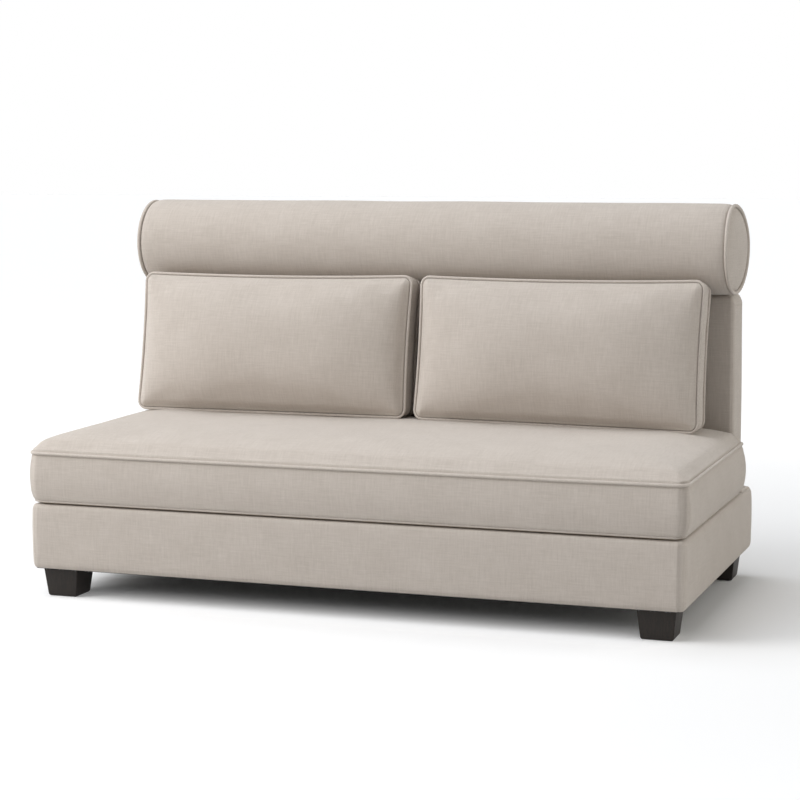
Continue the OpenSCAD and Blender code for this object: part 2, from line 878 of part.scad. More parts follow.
// Loose cushions, each drawn flat on its back and then stood up
cush_r = 30;
cush_bow = 5;
cush_steps_x = 6;
cush_steps_y = 3;
cush_y = back_front - cush_ahead;
band_bulge = 3;
// The rear lower piping rests on the seat's crown
cush_foot_y = band_bulge * sin(cush_lean) + cush_t / 2 * cos(cush_lean);
cush_foot_z = band_bulge * cos(cush_lean) - cush_t / 2 * sin(cush_lean) - pipe_r;
cush_z = seat_z0 + seat_height_at(seat_rear - cush_y - cush_foot_y) + soft_gap - cush_foot_z;
cush_x = cush_gap / 2 + cush_w / 2;
// Insets, heights and corner growth of a crowned face's rings, as shares
face_ring_shares = [[0.12, 0.25], [0.45, 0.6], [1.05, 0.88], [1.8, 1]];
face_reach = 90;
cush_rings = concat(
    [
        for (i = [len(face_ring_shares) - 1:-1:0])
            let (s = face_ring_shares[i])
                [s[0] * face_reach, -s[1] * cush_crown, cush_r + s[0] * cush_r]
    ],
    [[band_bulge, 0, cush_r], [0, cush_t / 2, cush_r], [band_bulge, cush_t, cush_r]],
    [
        for (s = face_ring_shares)
            [s[0] * face_reach, cush_t + s[1] * cush_crown, cush_r + s[0] * cush_r]
    ]
);

module stand_cushion(side) {
    place_y() translate([side * cush_x, cush_y, cush_z]) rotate([90 - cush_lean, 0, 0])
        translate([0, cush_h / 2, -cush_t / 2]) children();
}

module cushion_form(wall) {
    soft_block(cush_w, cush_h, cush_rings, cush_bow, cush_steps_x, cush_steps_y, wall);
}

zip_l = 400;
zip_w = 5;
zip_t = 2;
zip_inset = cush_bow + zip_t;

// Slide fastener in the middle of the lower band, or its slot when run inwards
module zip_block(run) {
    translate([-zip_l / 2, -cush_h / 2 + zip_inset - zip_t - run / 2, cush_t / 2 - zip_w / 2])
        cube([zip_l, zip_t + run, zip_w]);
}

module cushion_cover(side) {
    color(linen) stand_cushion(side) difference() {
        cushion_form(0);
        cushion_form(fabric_t);
        zip_block(2 * fabric_t);
    }
}

module cushion_filling(side) {
    color(foam) stand_cushion(side) difference() {
        cushion_form(fabric_t + soft_gap);
        zip_block(2 * fabric_t);
    }
}

module cushion_piping(side) {
    color(linen_piping) stand_cushion(side) difference() {
        for (z = [0, cush_t]) translate([0, 0, z])
            piping_loop(
                cush_w - 2 * band_bulge, cush_h - 2 * band_bulge, cush_r - pipe_r, pipe_r
            );
        cushion_form(0);
    }
}

module cushion_zip(side) {
    color(plastic) stand_cushion(side) zip_block(0);
}

module cushion_left_cover() cushion_cover(-1);
module cushion_left_filling() cushion_filling(-1);
module cushion_left_piping() cushion_piping(-1);
module cushion_left_zip() cushion_zip(-1);
module cushion_right_cover() cushion_cover(1);
module cushion_right_filling() cushion_filling(1);
module cushion_right_piping() cushion_piping(1);
module cushion_right_zip() cushion_zip(1);

base_front_board();
base_rear_board();
base_side_boards();
base_cross_rails();
base_corner_blocks();
base_deck();
base_dust_sheet();
base_front_cover();
base_rear_cover();
base_left_cover();
base_right_cover();
rear_ledge_cover();
foot_front_left();
foot_front_right();
foot_rear_left();
foot_rear_right();
foot_bolts();
foot_glides();
anti_slip_strips();
seat_board();
seat_springs();
seat_foam();
seat_cover();
seat_piping();
hinge_brackets();
hinge_bushes();
ratchet_housings();
bracket_screws();
back_rails();
back_stiles();
back_webbing();
back_foam();
back_rear_board();
back_cover();
back_side_covers();
hinge_arms();
hinge_pins();
roll_sleeves();
leg_brackets();
support_legs();
support_crossbar();
support_leg_pins();
support_leg_tips();
roll_core();
roll_foam();
roll_cover();
roll_end_caps();
roll_piping();
roll_posts();
cushion_left_cover();
cushion_left_filling();
cushion_left_piping();
cushion_left_zip();
cushion_right_cover();
cushion_right_filling();
cushion_right_piping();
cushion_right_zip();
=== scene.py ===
import bmesh
import bpy
import json
import math
from mathutils import Matrix, Vector, noise


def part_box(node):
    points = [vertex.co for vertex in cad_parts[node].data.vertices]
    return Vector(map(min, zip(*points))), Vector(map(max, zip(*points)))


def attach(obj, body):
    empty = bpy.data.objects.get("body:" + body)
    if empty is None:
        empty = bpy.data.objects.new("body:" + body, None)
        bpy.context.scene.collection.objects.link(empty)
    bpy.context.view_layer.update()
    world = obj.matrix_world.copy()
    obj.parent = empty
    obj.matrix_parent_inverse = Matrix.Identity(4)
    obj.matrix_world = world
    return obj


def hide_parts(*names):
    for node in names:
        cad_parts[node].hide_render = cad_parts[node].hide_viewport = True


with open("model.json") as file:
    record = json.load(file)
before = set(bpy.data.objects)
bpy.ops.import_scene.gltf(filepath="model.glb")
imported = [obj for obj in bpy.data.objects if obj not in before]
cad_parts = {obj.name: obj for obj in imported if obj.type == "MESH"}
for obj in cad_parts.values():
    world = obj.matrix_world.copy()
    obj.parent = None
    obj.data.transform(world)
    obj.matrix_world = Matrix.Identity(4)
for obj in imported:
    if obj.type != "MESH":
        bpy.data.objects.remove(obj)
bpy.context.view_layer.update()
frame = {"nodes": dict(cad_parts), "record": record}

scene = bpy.context.scene


# Camera: stands ahead of the sofa's right half, a little above the head roll,
# and looks left and down at the whole sofa.
def show(name, data):
    """Puts an object with this data into the scene."""
    shown = bpy.data.objects.new(name, data)
    scene.collection.objects.link(shown)
    return shown


eye = bpy.data.cameras.new("camera")
eye.sensor_width = 36
eye.lens = 95.65
eye.clip_end = 200
camera = show("camera", eye)
camera.location = (1.998, -5.7983, 1.2449)
camera.rotation_euler = (math.radians(83.514), 0, math.radians(19.026))
scene.camera = camera


# Base upholstery: one linen cover pulled over the padded box, turned in under its lower edge
# and stapled there. It also covers the ledge behind the seat block. Creases run up its corners
# and a hem line goes round just above its lower edge.
def feed(tree, node, inputs):
    """Wires or sets inputs of a node."""
    for name, value in inputs.items():
        if isinstance(value, bpy.types.NodeSocket):
            tree.links.new(value, node.inputs[name])
        else:
            node.inputs[name].default_value = value


def put(tree, kind, inputs=None, **settings):
    """Adds a shader or geometry node, sets it up and feeds its inputs."""
    node = tree.nodes.new(kind)
    for key, value in settings.items():
        setattr(node, key, value)
    feed(tree, node, inputs or {})
    return node


def calc(tree, operation, *values):
    """Adds a Math node and returns its result."""
    return put(tree, "ShaderNodeMath", dict(enumerate(values)), operation=operation).outputs[0]


def vector(tree, operation, *values):
    """Adds a Vector Math node and returns its vector."""
    return put(tree, "ShaderNodeVectorMath", dict(enumerate(values)), operation=operation).outputs[0]


def object_place(tree):
    return put(tree, "ShaderNodeTexCoord").outputs["Object"]


def noise_of(tree, vector, scale, detail=2.0, roughness=0.5):
    inputs = {"Vector": vector, "Scale": scale, "Detail": detail, "Roughness": roughness}
    return put(tree, "ShaderNodeTexNoise", inputs).outputs[0]


def new_tree(kind, name, sockets_in, sockets_out):
    """Starts a node group; its sockets are (label, kind) or (label, kind, value)."""
    tree = bpy.data.node_groups.new(name, kind)
    for way, sockets in (("INPUT", sockets_in), ("OUTPUT", sockets_out)):
        for label, data, *value in sockets:
            socket = tree.interface.new_socket(label, in_out=way, socket_type="NodeSocket" + data)
            if value:
                socket.default_value = value[0]
    return tree, tree.nodes.new("NodeGroupInput"), tree.nodes.new("NodeGroupOutput")


tone_and_height = (("Tone", "Float"), ("Height", "Float"))


def linen_weave_group():
    """Plain weave of slubby yarns: a height, and a tone that is 0.5 on an even yarn."""
    tree, given, result = new_tree("ShaderNodeTree", "linen weave", [("Cloth", "Vector")], tone_and_height)
    cloth = given.outputs[0]
    yarn_width, wander_width = 0.0011, 0.0009
    wander = put(tree, "ShaderNodeTexNoise", {"Vector": cloth, "Scale": 70.0, "Detail": 1.0}).outputs[1]
    centred = vector(tree, "SUBTRACT", wander, (0.5, 0.5, 0.5))
    shift = vector(tree, "MULTIPLY", centred, (wander_width,) * 3)
    axes = put(tree, "ShaderNodeSeparateXYZ", {0: vector(tree, "ADD", cloth, shift)})
    across, along = (calc(tree, "DIVIDE", axes.outputs[i], yarn_width) for i in (0, 1))
    column, row = (calc(tree, "FLOOR", run) for run in (across, along))
    hump_u, hump_v = (
        calc(tree, "SINE", calc(tree, "MULTIPLY", calc(tree, "FRACT", run), math.pi))
        for run in (across, along)
    )
    half = calc(tree, "MULTIPLY", calc(tree, "ADD", column, row), 0.5)
    over = calc(tree, "GREATER_THAN", calc(tree, "FRACT", half), 0.25)
    warp_top, weft_top = (
        calc(tree, "MULTIPLY", own, calc(tree, "MULTIPLY_ADD", other, 0.5, 0.5))
        for own, other in ((hump_u, hump_v), (hump_v, hump_u))
    )
    height = put(tree, "ShaderNodeMix", {"Factor": over, "A": warp_top, "B": weft_top}).outputs[0]

    yarn_change, length_change, weft_seed = 5.37, 0.03, 4.0
    long_way, cross_way = (calc(tree, "MULTIPLY", run, length_change) for run in (along, across))
    column, row = (calc(tree, "MULTIPLY", count, yarn_change) for count in (column, row))
    warp_yarn, weft_yarn = (
        noise_of(tree, put(tree, "ShaderNodeCombineXYZ", dict(enumerate(place))).outputs[0], 1.0)
        for place in ((column, long_way, 0.0), (cross_way, row, weft_seed))
    )
    yarn_tone = put(tree, "ShaderNodeMix", {"Factor": over, "A": warp_yarn, "B": weft_yarn}).outputs[0]
    slub_v, slub_u = (
        noise_of(tree, vector(tree, "MULTIPLY", cloth, stretch), 1.0, 3.0, 0.6)
        for stretch in ((210.0, 17.0, 1.0), (15.0, 230.0, 1.0))
    )
    cloud = noise_of(tree, cloth, 9.0, 3.0)
    tone = 0.5
    for part, share in ((yarn_tone, 0.5), (slub_v, 0.28), (slub_u, 0.25), (cloud, 0.17)):
        tone = calc(tree, "MULTIPLY_ADD", calc(tree, "SUBTRACT", part, 0.5), share, tone)
    lumpy = calc(tree, "MULTIPLY_ADD", calc(tree, "ADD", slub_v, slub_u), 0.45, height)
    feed(tree, result, {"Tone": tone, "Height": lumpy})
    return tree


linen_weave = linen_weave_group()


def new_material(name, **settings):
    """A Principled material with its plain values set on the shader itself."""
    material = bpy.data.materials.new(name)
    material.use_nodes = True
    shader = material.node_tree.nodes["Principled BSDF"]
    feed(material.node_tree, shader, {label.replace("_", " "): value for label, value in settings.items()})
    return material, material.node_tree, shader


def surface(tree, shader, tone, stops, rough, bump=None):
    """Colours a shader by a ramp of (place, colour) over a tone. rough is (slope, level) over the
    tone, or a result of its own, and bump is (height, strength, distance)."""
    node = put(tree, "ShaderNodeValToRGB", {"Fac": tone})
    points = node.color_ramp.elements
    for i, (place, colour) in enumerate(stops):
        point = points[i] if i < len(points) else points.new(place)
        point.position = place
        point.color = (*colour, 1)
    if isinstance(rough, tuple):
        rough = calc(tree, "MULTIPLY_ADD", tone, *rough)
    feed(tree, shader, {"Base Color": node.outputs[0], "Roughness": rough})
    if bump:
        relief = put(tree, "ShaderNodeBump", dict(zip(("Height", "Strength", "Distance"), bump)))
        feed(tree, shader, {"Normal": relief.outputs[0]})


def linen(name, dark, middle, light, turn=0.0):
    """Linen cloth; turn is the angle at which it was cut from the roll, 45 degrees on the bias."""
    material, tree, shader = new_material(
        name, Sheen_Weight=0.24, Sheen_Roughness=0.42, Specular_IOR_Level=0.25)
    lay = put(tree, "ShaderNodeUVMap", uv_map="cloth").outputs[0]
    if turn:
        lay = put(tree, "ShaderNodeMapping", {"Vector": lay, "Rotation": (0, 0, turn)}).outputs[0]
    tone, height = put(tree, "ShaderNodeGroup", {}, node_tree=linen_weave).outputs
    feed(tree, tone.node, {"Cloth": lay})
    stops = ((0.2, dark), (0.5, middle), (0.8, light))
    surface(tree, shader, tone, stops, (-0.12, 0.98), (height, 0.45, 0.0005))
    return material


linen_cloth = linen("greige linen", (0.42, 0.373, 0.328), (0.54, 0.486, 0.437), (0.66, 0.605, 0.555))


def lay_cloth(mesh):
    """Writes the UV map "cloth" in metres: each face takes the two axes that it faces least."""
    layer = mesh.uv_layers.new(name="cloth")
    for face in mesh.polygons:
        facing = [abs(c) for c in face.normal]
        across, along = [(1, 2), (0, 2), (0, 1)][facing.index(max(facing))]
        for corner in face.loop_indices:
            point = mesh.vertices[mesh.loops[corner].vertex_index].co
            layer.data[corner].uv = (point[across], point[along])


def add_piece(mesh, name, material, body, node_names=()):
    """Makes an object of a mesh, gives it its finish and rides it on its body."""
    piece = show(name, mesh)
    mesh.materials.clear()
    mesh.materials.append(material)
    if not mesh.uv_layers.get("cloth"):
        lay_cloth(mesh)
    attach(piece, body)
    if node_names:
        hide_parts(*node_names)
    return piece


def to_mesh(bm, name):
    """Turns a finished bmesh into a mesh."""
    mesh = bpy.data.meshes.new(name)
    bm.to_mesh(mesh)
    bm.free()
    return mesh


def finish_mesh(bm, name, material, body, node_names=(), weld=1e-5):
    """Welds a bmesh, turns its faces outwards and makes it a piece on its body."""
    bmesh.ops.remove_doubles(bm, verts=bm.verts, dist=weld)
    bmesh.ops.recalc_face_normals(bm, faces=bm.faces)
    mesh = to_mesh(bm, name)
    mesh.shade_smooth()
    return add_piece(mesh, name, material, body, node_names)


def linen_cover(bm, name, body, node_names=()):
    return finish_mesh(bm, name, linen_cloth, body, node_names)


def middle(low, high):
    """Centre and half size of a box."""
    return (low + high) / 2, (high - low) / 2


def bridge(bm, rings, closed=False):
    """Faces between rings of vertices, and over the first and the last ring if closed."""
    for a, b in zip(rings, rings[1:]):
        for i in range(len(a)):
            j = (i + 1) % len(a)
            bm.faces.new((a[i], a[j], b[j], b[i]))
    if closed:
        bm.faces.new(rings[0])
        bm.faces.new(rings[-1])


quadrants = ((1, 1), (-1, 1), (-1, -1), (1, -1))


def block_outline(half_w, half_d, radius, across, along, corner):
    """Points (x, y, outward x, outward y) round a rectangle with round corners; the last three
    are counts of steps."""
    centres = [(sx * (half_w - radius), sy * (half_d - radius)) for sx, sy in quadrants]
    loop = []
    for q, (cx, cy) in enumerate(centres):
        for i in range(corner + 1):
            turn = (q + i / corner) * math.pi / 2
            nx, ny = math.cos(turn), math.sin(turn)
            loop.append((cx + radius * nx, cy + radius * ny, nx, ny))
        x0, y0, nx, ny = loop[-1]
        next_x, next_y = centres[(q + 1) % 4]
        x1, y1 = next_x + radius * nx, next_y + radius * ny
        steps = along if q % 2 else across
        for i in range(1, steps):
            t = i / steps
            loop.append((x0 + (x1 - x0) * t, y0 + (y1 - y0) * t, nx, ny))
    return loop


def height_of(rule, x, y, inset):
    return rule(x, y, inset) if callable(rule) else rule


def padded_block(half_w, half_d, radius, steps, profile, under, over, creases=()):
    """A closed block: profile rings (inset, height) up its side, and a grid below and above.
    A height may be a rule of x, y and inset. creases are (corner, step, depth) of upright ones."""
    across, along, corner = steps
    loop = block_outline(half_w, half_d, radius, across, along, corner)
    starts = [0, corner + across, 2 * corner + across + along, 3 * corner + 2 * across + along]
    furrow = {starts[q] + step: depth for q, step, depth in creases}
    bm = bmesh.new()
    rings = []
    for inset, height in profile:
        creased = not callable(height) and inset < radius / 2
        ring = []
        for i, (x, y, nx, ny) in enumerate(loop):
            into = inset + (furrow.get(i, 0) if creased else 0)
            x, y = x - nx * into, y - ny * into
            ring.append(bm.verts.new((x, y, height_of(height, x, y, inset))))
        rings.append(ring)
    bridge(bm, rings)
    inner_w, inner_d = half_w - radius, half_d - radius
    for rule in (under, over):
        grid = []
        for j in range(along + 1):
            y = -inner_d + 2 * inner_d * j / along
            spots = [(-inner_w + 2 * inner_w * i / across, y) for i in range(across + 1)]
            grid.append([bm.verts.new((x, y, height_of(rule, x, y, radius))) for x, y in spots])
        for a, b in zip(grid, grid[1:]):
            for i in range(across):
                bm.faces.new((a[i], a[i + 1], b[i + 1], b[i]))
    return bm


def rumple(x, y, z, size, height, seed):
    """A soft unevenness of padding: size is its width in metres, height its rise."""
    return height * noise.noise(Vector((x / size + seed, y / size, z / size)))


def ease(share):
    """0 below 0, 1 above 1, and a smooth step between."""
    share = min(max(share, 0), 1)
    return share * share * (3 - 2 * share)


def near(distance, reach):
    """1 at an edge, 0 at its reach and beyond, for a distance in from the edge."""
    return min(max(1 - distance / reach, 0), 1)


def shove(point, push, half_w, end_reach, middle_y=0.0):
    """Pushes a point of an upright face outwards, in x if it lies on an end."""
    if abs(point.x) > half_w - end_reach:
        point.x += math.copysign(push, point.x)
    else:
        point.y += math.copysign(push, point.y - middle_y)


def dress_base():
    low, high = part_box("base_front_cover")
    rear, half_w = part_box("base_rear_cover")[1].y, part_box("base_right_cover")[1].x
    ledge_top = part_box("rear_ledge_cover")[1].z
    half_d, middle_y, bottom, radius = (rear - low.y) / 2, (low.y + rear) / 2, low.z, 0.024
    turned_in, hem_top, shoulder, bow = 0.0025, 0.018, 0.016, 0.0016
    hem = [
        (radius, turned_in), (0.0238, -0.0004), (0.017, -0.0006), (0.011, -0.0002), (0.0072, 0.0014),
        (0.0046, 0.0036), (0.0032, 0.0056), (0.0036, 0.0066), (0.0022, 0.008), (0.0010, 0.0118),
        (0.0002, hem_top),
    ]
    upper_edge = [
        (0.0003, 0.0125), (0.0012, 0.0078), (0.0028, 0.0044), (0.0050, 0.0019), (0.0078, 0.0006),
        (0.012, 0), (radius, 0),
    ]
    wall = high.z - bottom - hem_top - shoulder
    profile = [(inset, bottom + rise) for inset, rise in hem]
    profile += [(-bow * math.sin(math.pi * t / 12), bottom + hem_top + wall * t / 12) for t in range(1, 12)]
    profile += [(inset, ledge_top - drop) for inset, drop in upper_edge]
    creases = [
        (3, 2, 0.0026), (3, 5, 0.0008), (2, 8, 0.0026), (2, 5, 0.0008), (0, 8, 0.0022), (1, 2, 0.0022),
    ]
    bm = padded_block(half_w, half_d, radius, (150, 80, 10), profile, bottom + turned_in, ledge_top, creases)
    rear_reach, rear_drop = 0.008, 0.004
    end_reach, end_drop, end_drop_behind = 0.014, 0.0046, 0.0034
    for v in bm.verts:
        point = v.co
        point.y += middle_y
        if point.z > ledge_top - end_reach:
            behind = ease((point.y - rear + 0.09) / 0.07)
            point.z -= rear_drop * near(rear - point.y, rear_reach) ** 2
            point.z -= near(half_w - abs(point.x), end_reach) ** 2 * (end_drop + end_drop_behind * behind)
        if bottom + 0.014 < point.z < ledge_top - 0.012:
            push = rumple(*point, 0.16, 0.0012, 3) + rumple(*point, 0.05, 0.0004, 8)
            shove(point, push, half_w, 0.012, middle_y)
    nodes = [f"base_{side}_cover" for side in ("front", "rear", "left", "right")] + ["rear_ledge_cover"]
    linen_cover(bm, "base_upholstery", "base", nodes)


dress_base()


def pad_bracket_feet():
    """Two small pads under the same linen, drawn over the screws of the hinge brackets' feet."""
    low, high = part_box("hinge_brackets")
    centre, half = middle(low, high)
    ledge_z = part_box("rear_ledge_cover")[1].z
    half_w, overhang, past_bracket, radius, height = 0.0155, 0.006, 0.002, 0.012, 0.0136
    rounding = [
        (radius, 0.0), (0.0, 0.0), (-0.0002, 0.004), (0.0005, 0.0080), (0.0020, 0.0108),
        (0.0044, 0.0126), (0.008, 0.0134), (radius, height),
    ]
    profile = [(inset, ledge_z + rise) for inset, rise in rounding]
    bm = bmesh.new()
    for side in (-1, 1):
        pad = padded_block(half_w, half.y + overhang, radius, (8, 30, 6), profile, ledge_z, ledge_z + height)
        bmesh.ops.translate(pad, verts=pad.verts, vec=(side * (high.x + past_bracket - half_w), centre.y, 0))
        mesh = to_mesh(pad, "pad")
        bm.from_mesh(mesh)
        bpy.data.meshes.remove(mesh)
    linen_cover(bm, "hinge_foot_pads", "base")


pad_bracket_feet()


# Feet: four blocks of hardwood, tapered on all sides, their edges broken, stained dark
# espresso and matt lacquered. Each is bolted up into a corner block of the base.
def wood_grain_group():
    """Fine long grain with pores: a tone and a height."""
    sockets_in = [("Place", "Vector"), ("Fineness", "Float", 1.0)]
    tree, given, result = new_tree("ShaderNodeTree", "wood grain", sockets_in, tone_and_height)
    spread = vector(tree, "MULTIPLY", given.outputs[0], (60.0, 60.0, 5.0))
    scaled = vector(tree, "MULTIPLY", spread, given.outputs[1])
    figure = noise_of(tree, scaled, 1.0, 5.0, 0.6)
    rings = calc(tree, "SINE", calc(tree, "MULTIPLY", figure, 38.0))
    pits = noise_of(tree, vector(tree, "MULTIPLY", scaled, (18.0, 18.0, 3.0)), 1.0, 1.0)
    tone = calc(tree, "MULTIPLY_ADD", rings, 0.16, calc(tree, "MULTIPLY_ADD", pits, 0.5, 0.25))
    feed(tree, result, {"Tone": tone, "Height": calc(tree, "MULTIPLY_ADD", rings, 0.15, pits)})
    return tree


wood_grain = wood_grain_group()


def wood(name, dark, light, roughness, bump_height, fineness, coat, along=(0, 0, 0), specular=0.5):
    """Wood whose grain runs upright, or is turned by the angles in along."""
    material, tree, shader = new_material(name, Coat_Roughness=0.35, Specular_IOR_Level=specular)
    place = put(tree, "ShaderNodeMapping", {"Vector": object_place(tree), "Rotation": along}).outputs[0]
    tone, height = put(tree, "ShaderNodeGroup", {}, node_tree=wood_grain).outputs
    feed(tree, tone.node, {"Place": place, "Fineness": fineness})
    feed(tree, shader, {"Coat Weight": calc(tree, "MULTIPLY_ADD", tone, -0.1, coat + 0.05)})
    stops = ((0.25, dark), (0.75, light))
    surface(tree, shader, tone, stops, (0.2, roughness - 0.1), (height, 0.5, bump_height))
    return material


espresso = wood(
    "espresso stained wood", (0.0085, 0.0062, 0.0048), (0.0245, 0.0185, 0.0148), 0.6, 0.0002, 1.3, 0.05,
    specular=0.32)


def turn_foot(node_name):
    """A foot with the sizes of its CAD node and broken edges."""
    low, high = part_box(node_name)
    centre = (low + high) / 2
    half_top, chamfer, half_low, edge_lift = (high.x - low.x) / 2, 0.003, 0.044, 0.0015
    levels = [(half_low - chamfer, low.z), (half_low, low.z + chamfer + edge_lift), (half_top, high.z)]
    bm = bmesh.new()
    rings = [
        [bm.verts.new((centre.x + sx * size, centre.y + sy * size, z)) for sx, sy in quadrants]
        for size, z in levels
    ]
    bm.faces.new(rings[0][::-1])
    bm.faces.new(rings[-1])
    bridge(bm, rings)

    def break_edges(chosen, offset, segments):
        edges = [e for e in bm.edges if chosen(*(v.co.z for v in e.verts))]
        bmesh.ops.bevel(bm, geom=edges, offset=offset, segments=segments, profile=0.6, affect="EDGES")

    level = 1e-6
    break_edges(lambda a, b: abs(a - b) > level, 0.0022, 3)
    break_edges(lambda a, b: max(a, b) < low.z + 0.008 and abs(a - b) < level, 0.0009, 2)
    piece = finish_mesh(bm, node_name + "_block", espresso, "base", [node_name], 1e-6)
    piece.data.set_sharp_from_angle(angle=math.radians(32))


for foot_name in ("foot_front_left", "foot_front_right", "foot_rear_left", "foot_rear_right"):
    turn_foot(foot_name)


# Seat block: a crowned block of foam over zig-zag springs in a boxed linen cover, with a piped
# seam round its top edge, tucked in below to a seam just above the base.
def crown_share(distance, reach):
    """Rise of a crown at a distance in from its edge, from 0 at the edge to 1 at its reach."""
    share = near(max(distance, 0), reach)
    return math.sqrt(1 - share * share)


def seam_hold(inset, radius):
    """Share of a crown's rise that the seam leaves at an inset from the edge."""
    return 0.35 + 0.65 * ease(inset / radius)


def seat_crown(x, y, half_w, half_d, rise):
    """Height of the crown above the piped seam, x and y from the block's middle."""
    reach, slow_reach, slow_share, squareness = 0.2, 0.27, 0.09, 4.5
    swell, fullest_x, swell_reach = 0.007, -0.18, 1.08
    in_w = half_w - abs(x)
    short_w = 1 - (1 - slow_share) * crown_share(in_w, reach) - slow_share * ease(in_w / slow_reach)
    short_d = 1 - crown_share(half_d - abs(y), reach)
    short = (max(short_w, 0) ** squareness + short_d ** squareness) ** (1 / squareness)
    return (rise + swell * (1 - ((x - fullest_x) / swell_reach) ** 2)) * (1 - min(short, 1))


def seam_climb(x, y, half_d):
    """How far the seat's top seam stands above level: its ends rise towards the rear corners."""
    lift, climb, front_share = 0.002, 0.010, 0.15
    rearward = front_share + (1 - front_share) * (y + half_d) / (2 * half_d)
    return lift + climb * ease((abs(x) - 0.55) / 0.4) * rearward


def fuller_corner(x, y, half_w, half_d, radius):
    """Pushes the rear corners outwards: the padding is packed full there."""
    cx, cy, fullness = half_w - radius, half_d - radius, 0.0048
    if abs(x) > cx and y > cy:
        turn = math.atan2(y - cy, abs(x) - cx)
        push = fullness * math.sin(2 * turn)
        x, y = x + math.copysign(push * math.cos(turn), x), y + push * math.sin(turn)
    return x, y


def make_seat():
    low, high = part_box("seat_cover")
    centre, half = middle(low, high)
    seam, seam_half = middle(*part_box("seat_piping"))
    seam_z = seam.z
    half_w, half_d, bottom, radius = half.x, half.y, low.z, 0.038
    crown_extra, seam_lip = 0.003, 0.0024
    rise, wall = high.z - seam_z + crown_extra, seam_z - bottom

    def top(x, y, inset):
        lift = seat_crown(x, y, half_w, half_d, rise) * seam_hold(inset, radius)
        uneven = rumple(x, y, 0, 0.3, 0.0022, 5) + rumple(x, y, 0, 0.11, 0.0006, 9)
        return seam_z + seam_lip + lift + min(lift / rise, 1) * uneven

    lower_end, upper_end, hollow, bow = 0.025, 0.020, 0.003, 0.0012
    welt = [
        (radius, 0), (0.029, 0.0003), (0.0215, 0.0010), (0.0150, 0.0022), (0.0104, 0.0034),
        (0.0082, 0.0052), (0.0082, 0.0074), (0.0100, 0.0088), (0.0074, 0.0102), (0.0056, 0.0142),
        (0.0044, 0.0195), (0.0036, lower_end),
    ]
    below_seam = [
        (0.0034, -0.0195), (0.0040, -0.0130), (0.0052, -0.0080), (0.0068, -0.0046), (0.0080, -0.0010),
        (0.0084, 0.0018),
    ]
    profile = [(inset, bottom + lift) for inset, lift in welt]
    for t in range(1, 10):
        arch = math.sin(math.pi * t / 10)
        rise_here = lower_end + (wall - lower_end - upper_end) * t / 10
        profile.append((hollow * (1 - arch ** 0.8) - bow * arch, bottom + rise_here))
    profile += [(inset, seam_z + lift) for inset, lift in below_seam]
    profile += [(inset, top) for inset in (0.0092, 0.0110, 0.014, 0.018, 0.0225, 0.028, 0.033, radius)]
    creases = [(q, step, depth) for q in range(4) for step, depth in ((4, 0.0026), (6, 0.0044), (8, 0.0030))]
    bm = padded_block(half_w, half_d, radius, (170, 74, 12), profile, bottom, top, creases)
    tuck_height, tuck, tuck_lift, end_swell = 0.026, 0.0035, 0.0008, 0.0065
    for v in bm.verts:
        point = v.co
        if bottom + 0.022 < point.z < seam_z - 0.012:
            fine = rumple(point.x, point.y, point.z * 0.25, 0.035, 0.0003, 14)
            shove(point, rumple(*point, 0.14, 0.0014, 11) + fine, half_w, 0.018)
        up = min((point.z - bottom) / wall, 1)
        point.z += seam_climb(point.x, point.y, half_d) * up
        if abs(point.x) > half_w - 0.04 and point.z < bottom + 0.03:
            point.z += tuck_lift * (1 - up) ** 3 * ease((abs(point.x) - half_w + 0.04) / 0.025)
            point.x -= math.copysign(tuck * ease((bottom + tuck_height - point.z) / 0.02), point.x)
        point.x, point.y = fuller_corner(point.x, point.y, half_w, half_d, radius)
        if abs(point.x) > half_w - 0.02:
            swell = end_swell * math.sin(math.pi * up) ** 0.8 * ease((point.y + 0.05) / half_d)
            point.x += math.copysign(swell, point.x)
        point.y += centre.y
    linen_cover(bm, "seat_block_cover", "base", ["seat_cover"])
    cord_r = seam_half.z - 0.001
    in_from_edge = cord_r + 0.0006
    spots = []
    loop = block_outline(half_w - in_from_edge, half_d - in_from_edge, radius - cord_r, 110, 50, 10)
    for x, y, nx, ny in loop:
        z = seam_z + seam_climb(x, y, half_d)
        x, y = fuller_corner(x, y, half_w, half_d, radius)
        spots.append((x, y + centre.y, z))
    return spots, cord_r


# Piping: a soft cord covered in a strip of the same linen, cut on the bias, and sewn into
# each seam.
piping_cloth = linen(
    "bias cut linen", (0.44, 0.392, 0.346), (0.565, 0.51, 0.46), (0.68, 0.625, 0.575), math.radians(45))


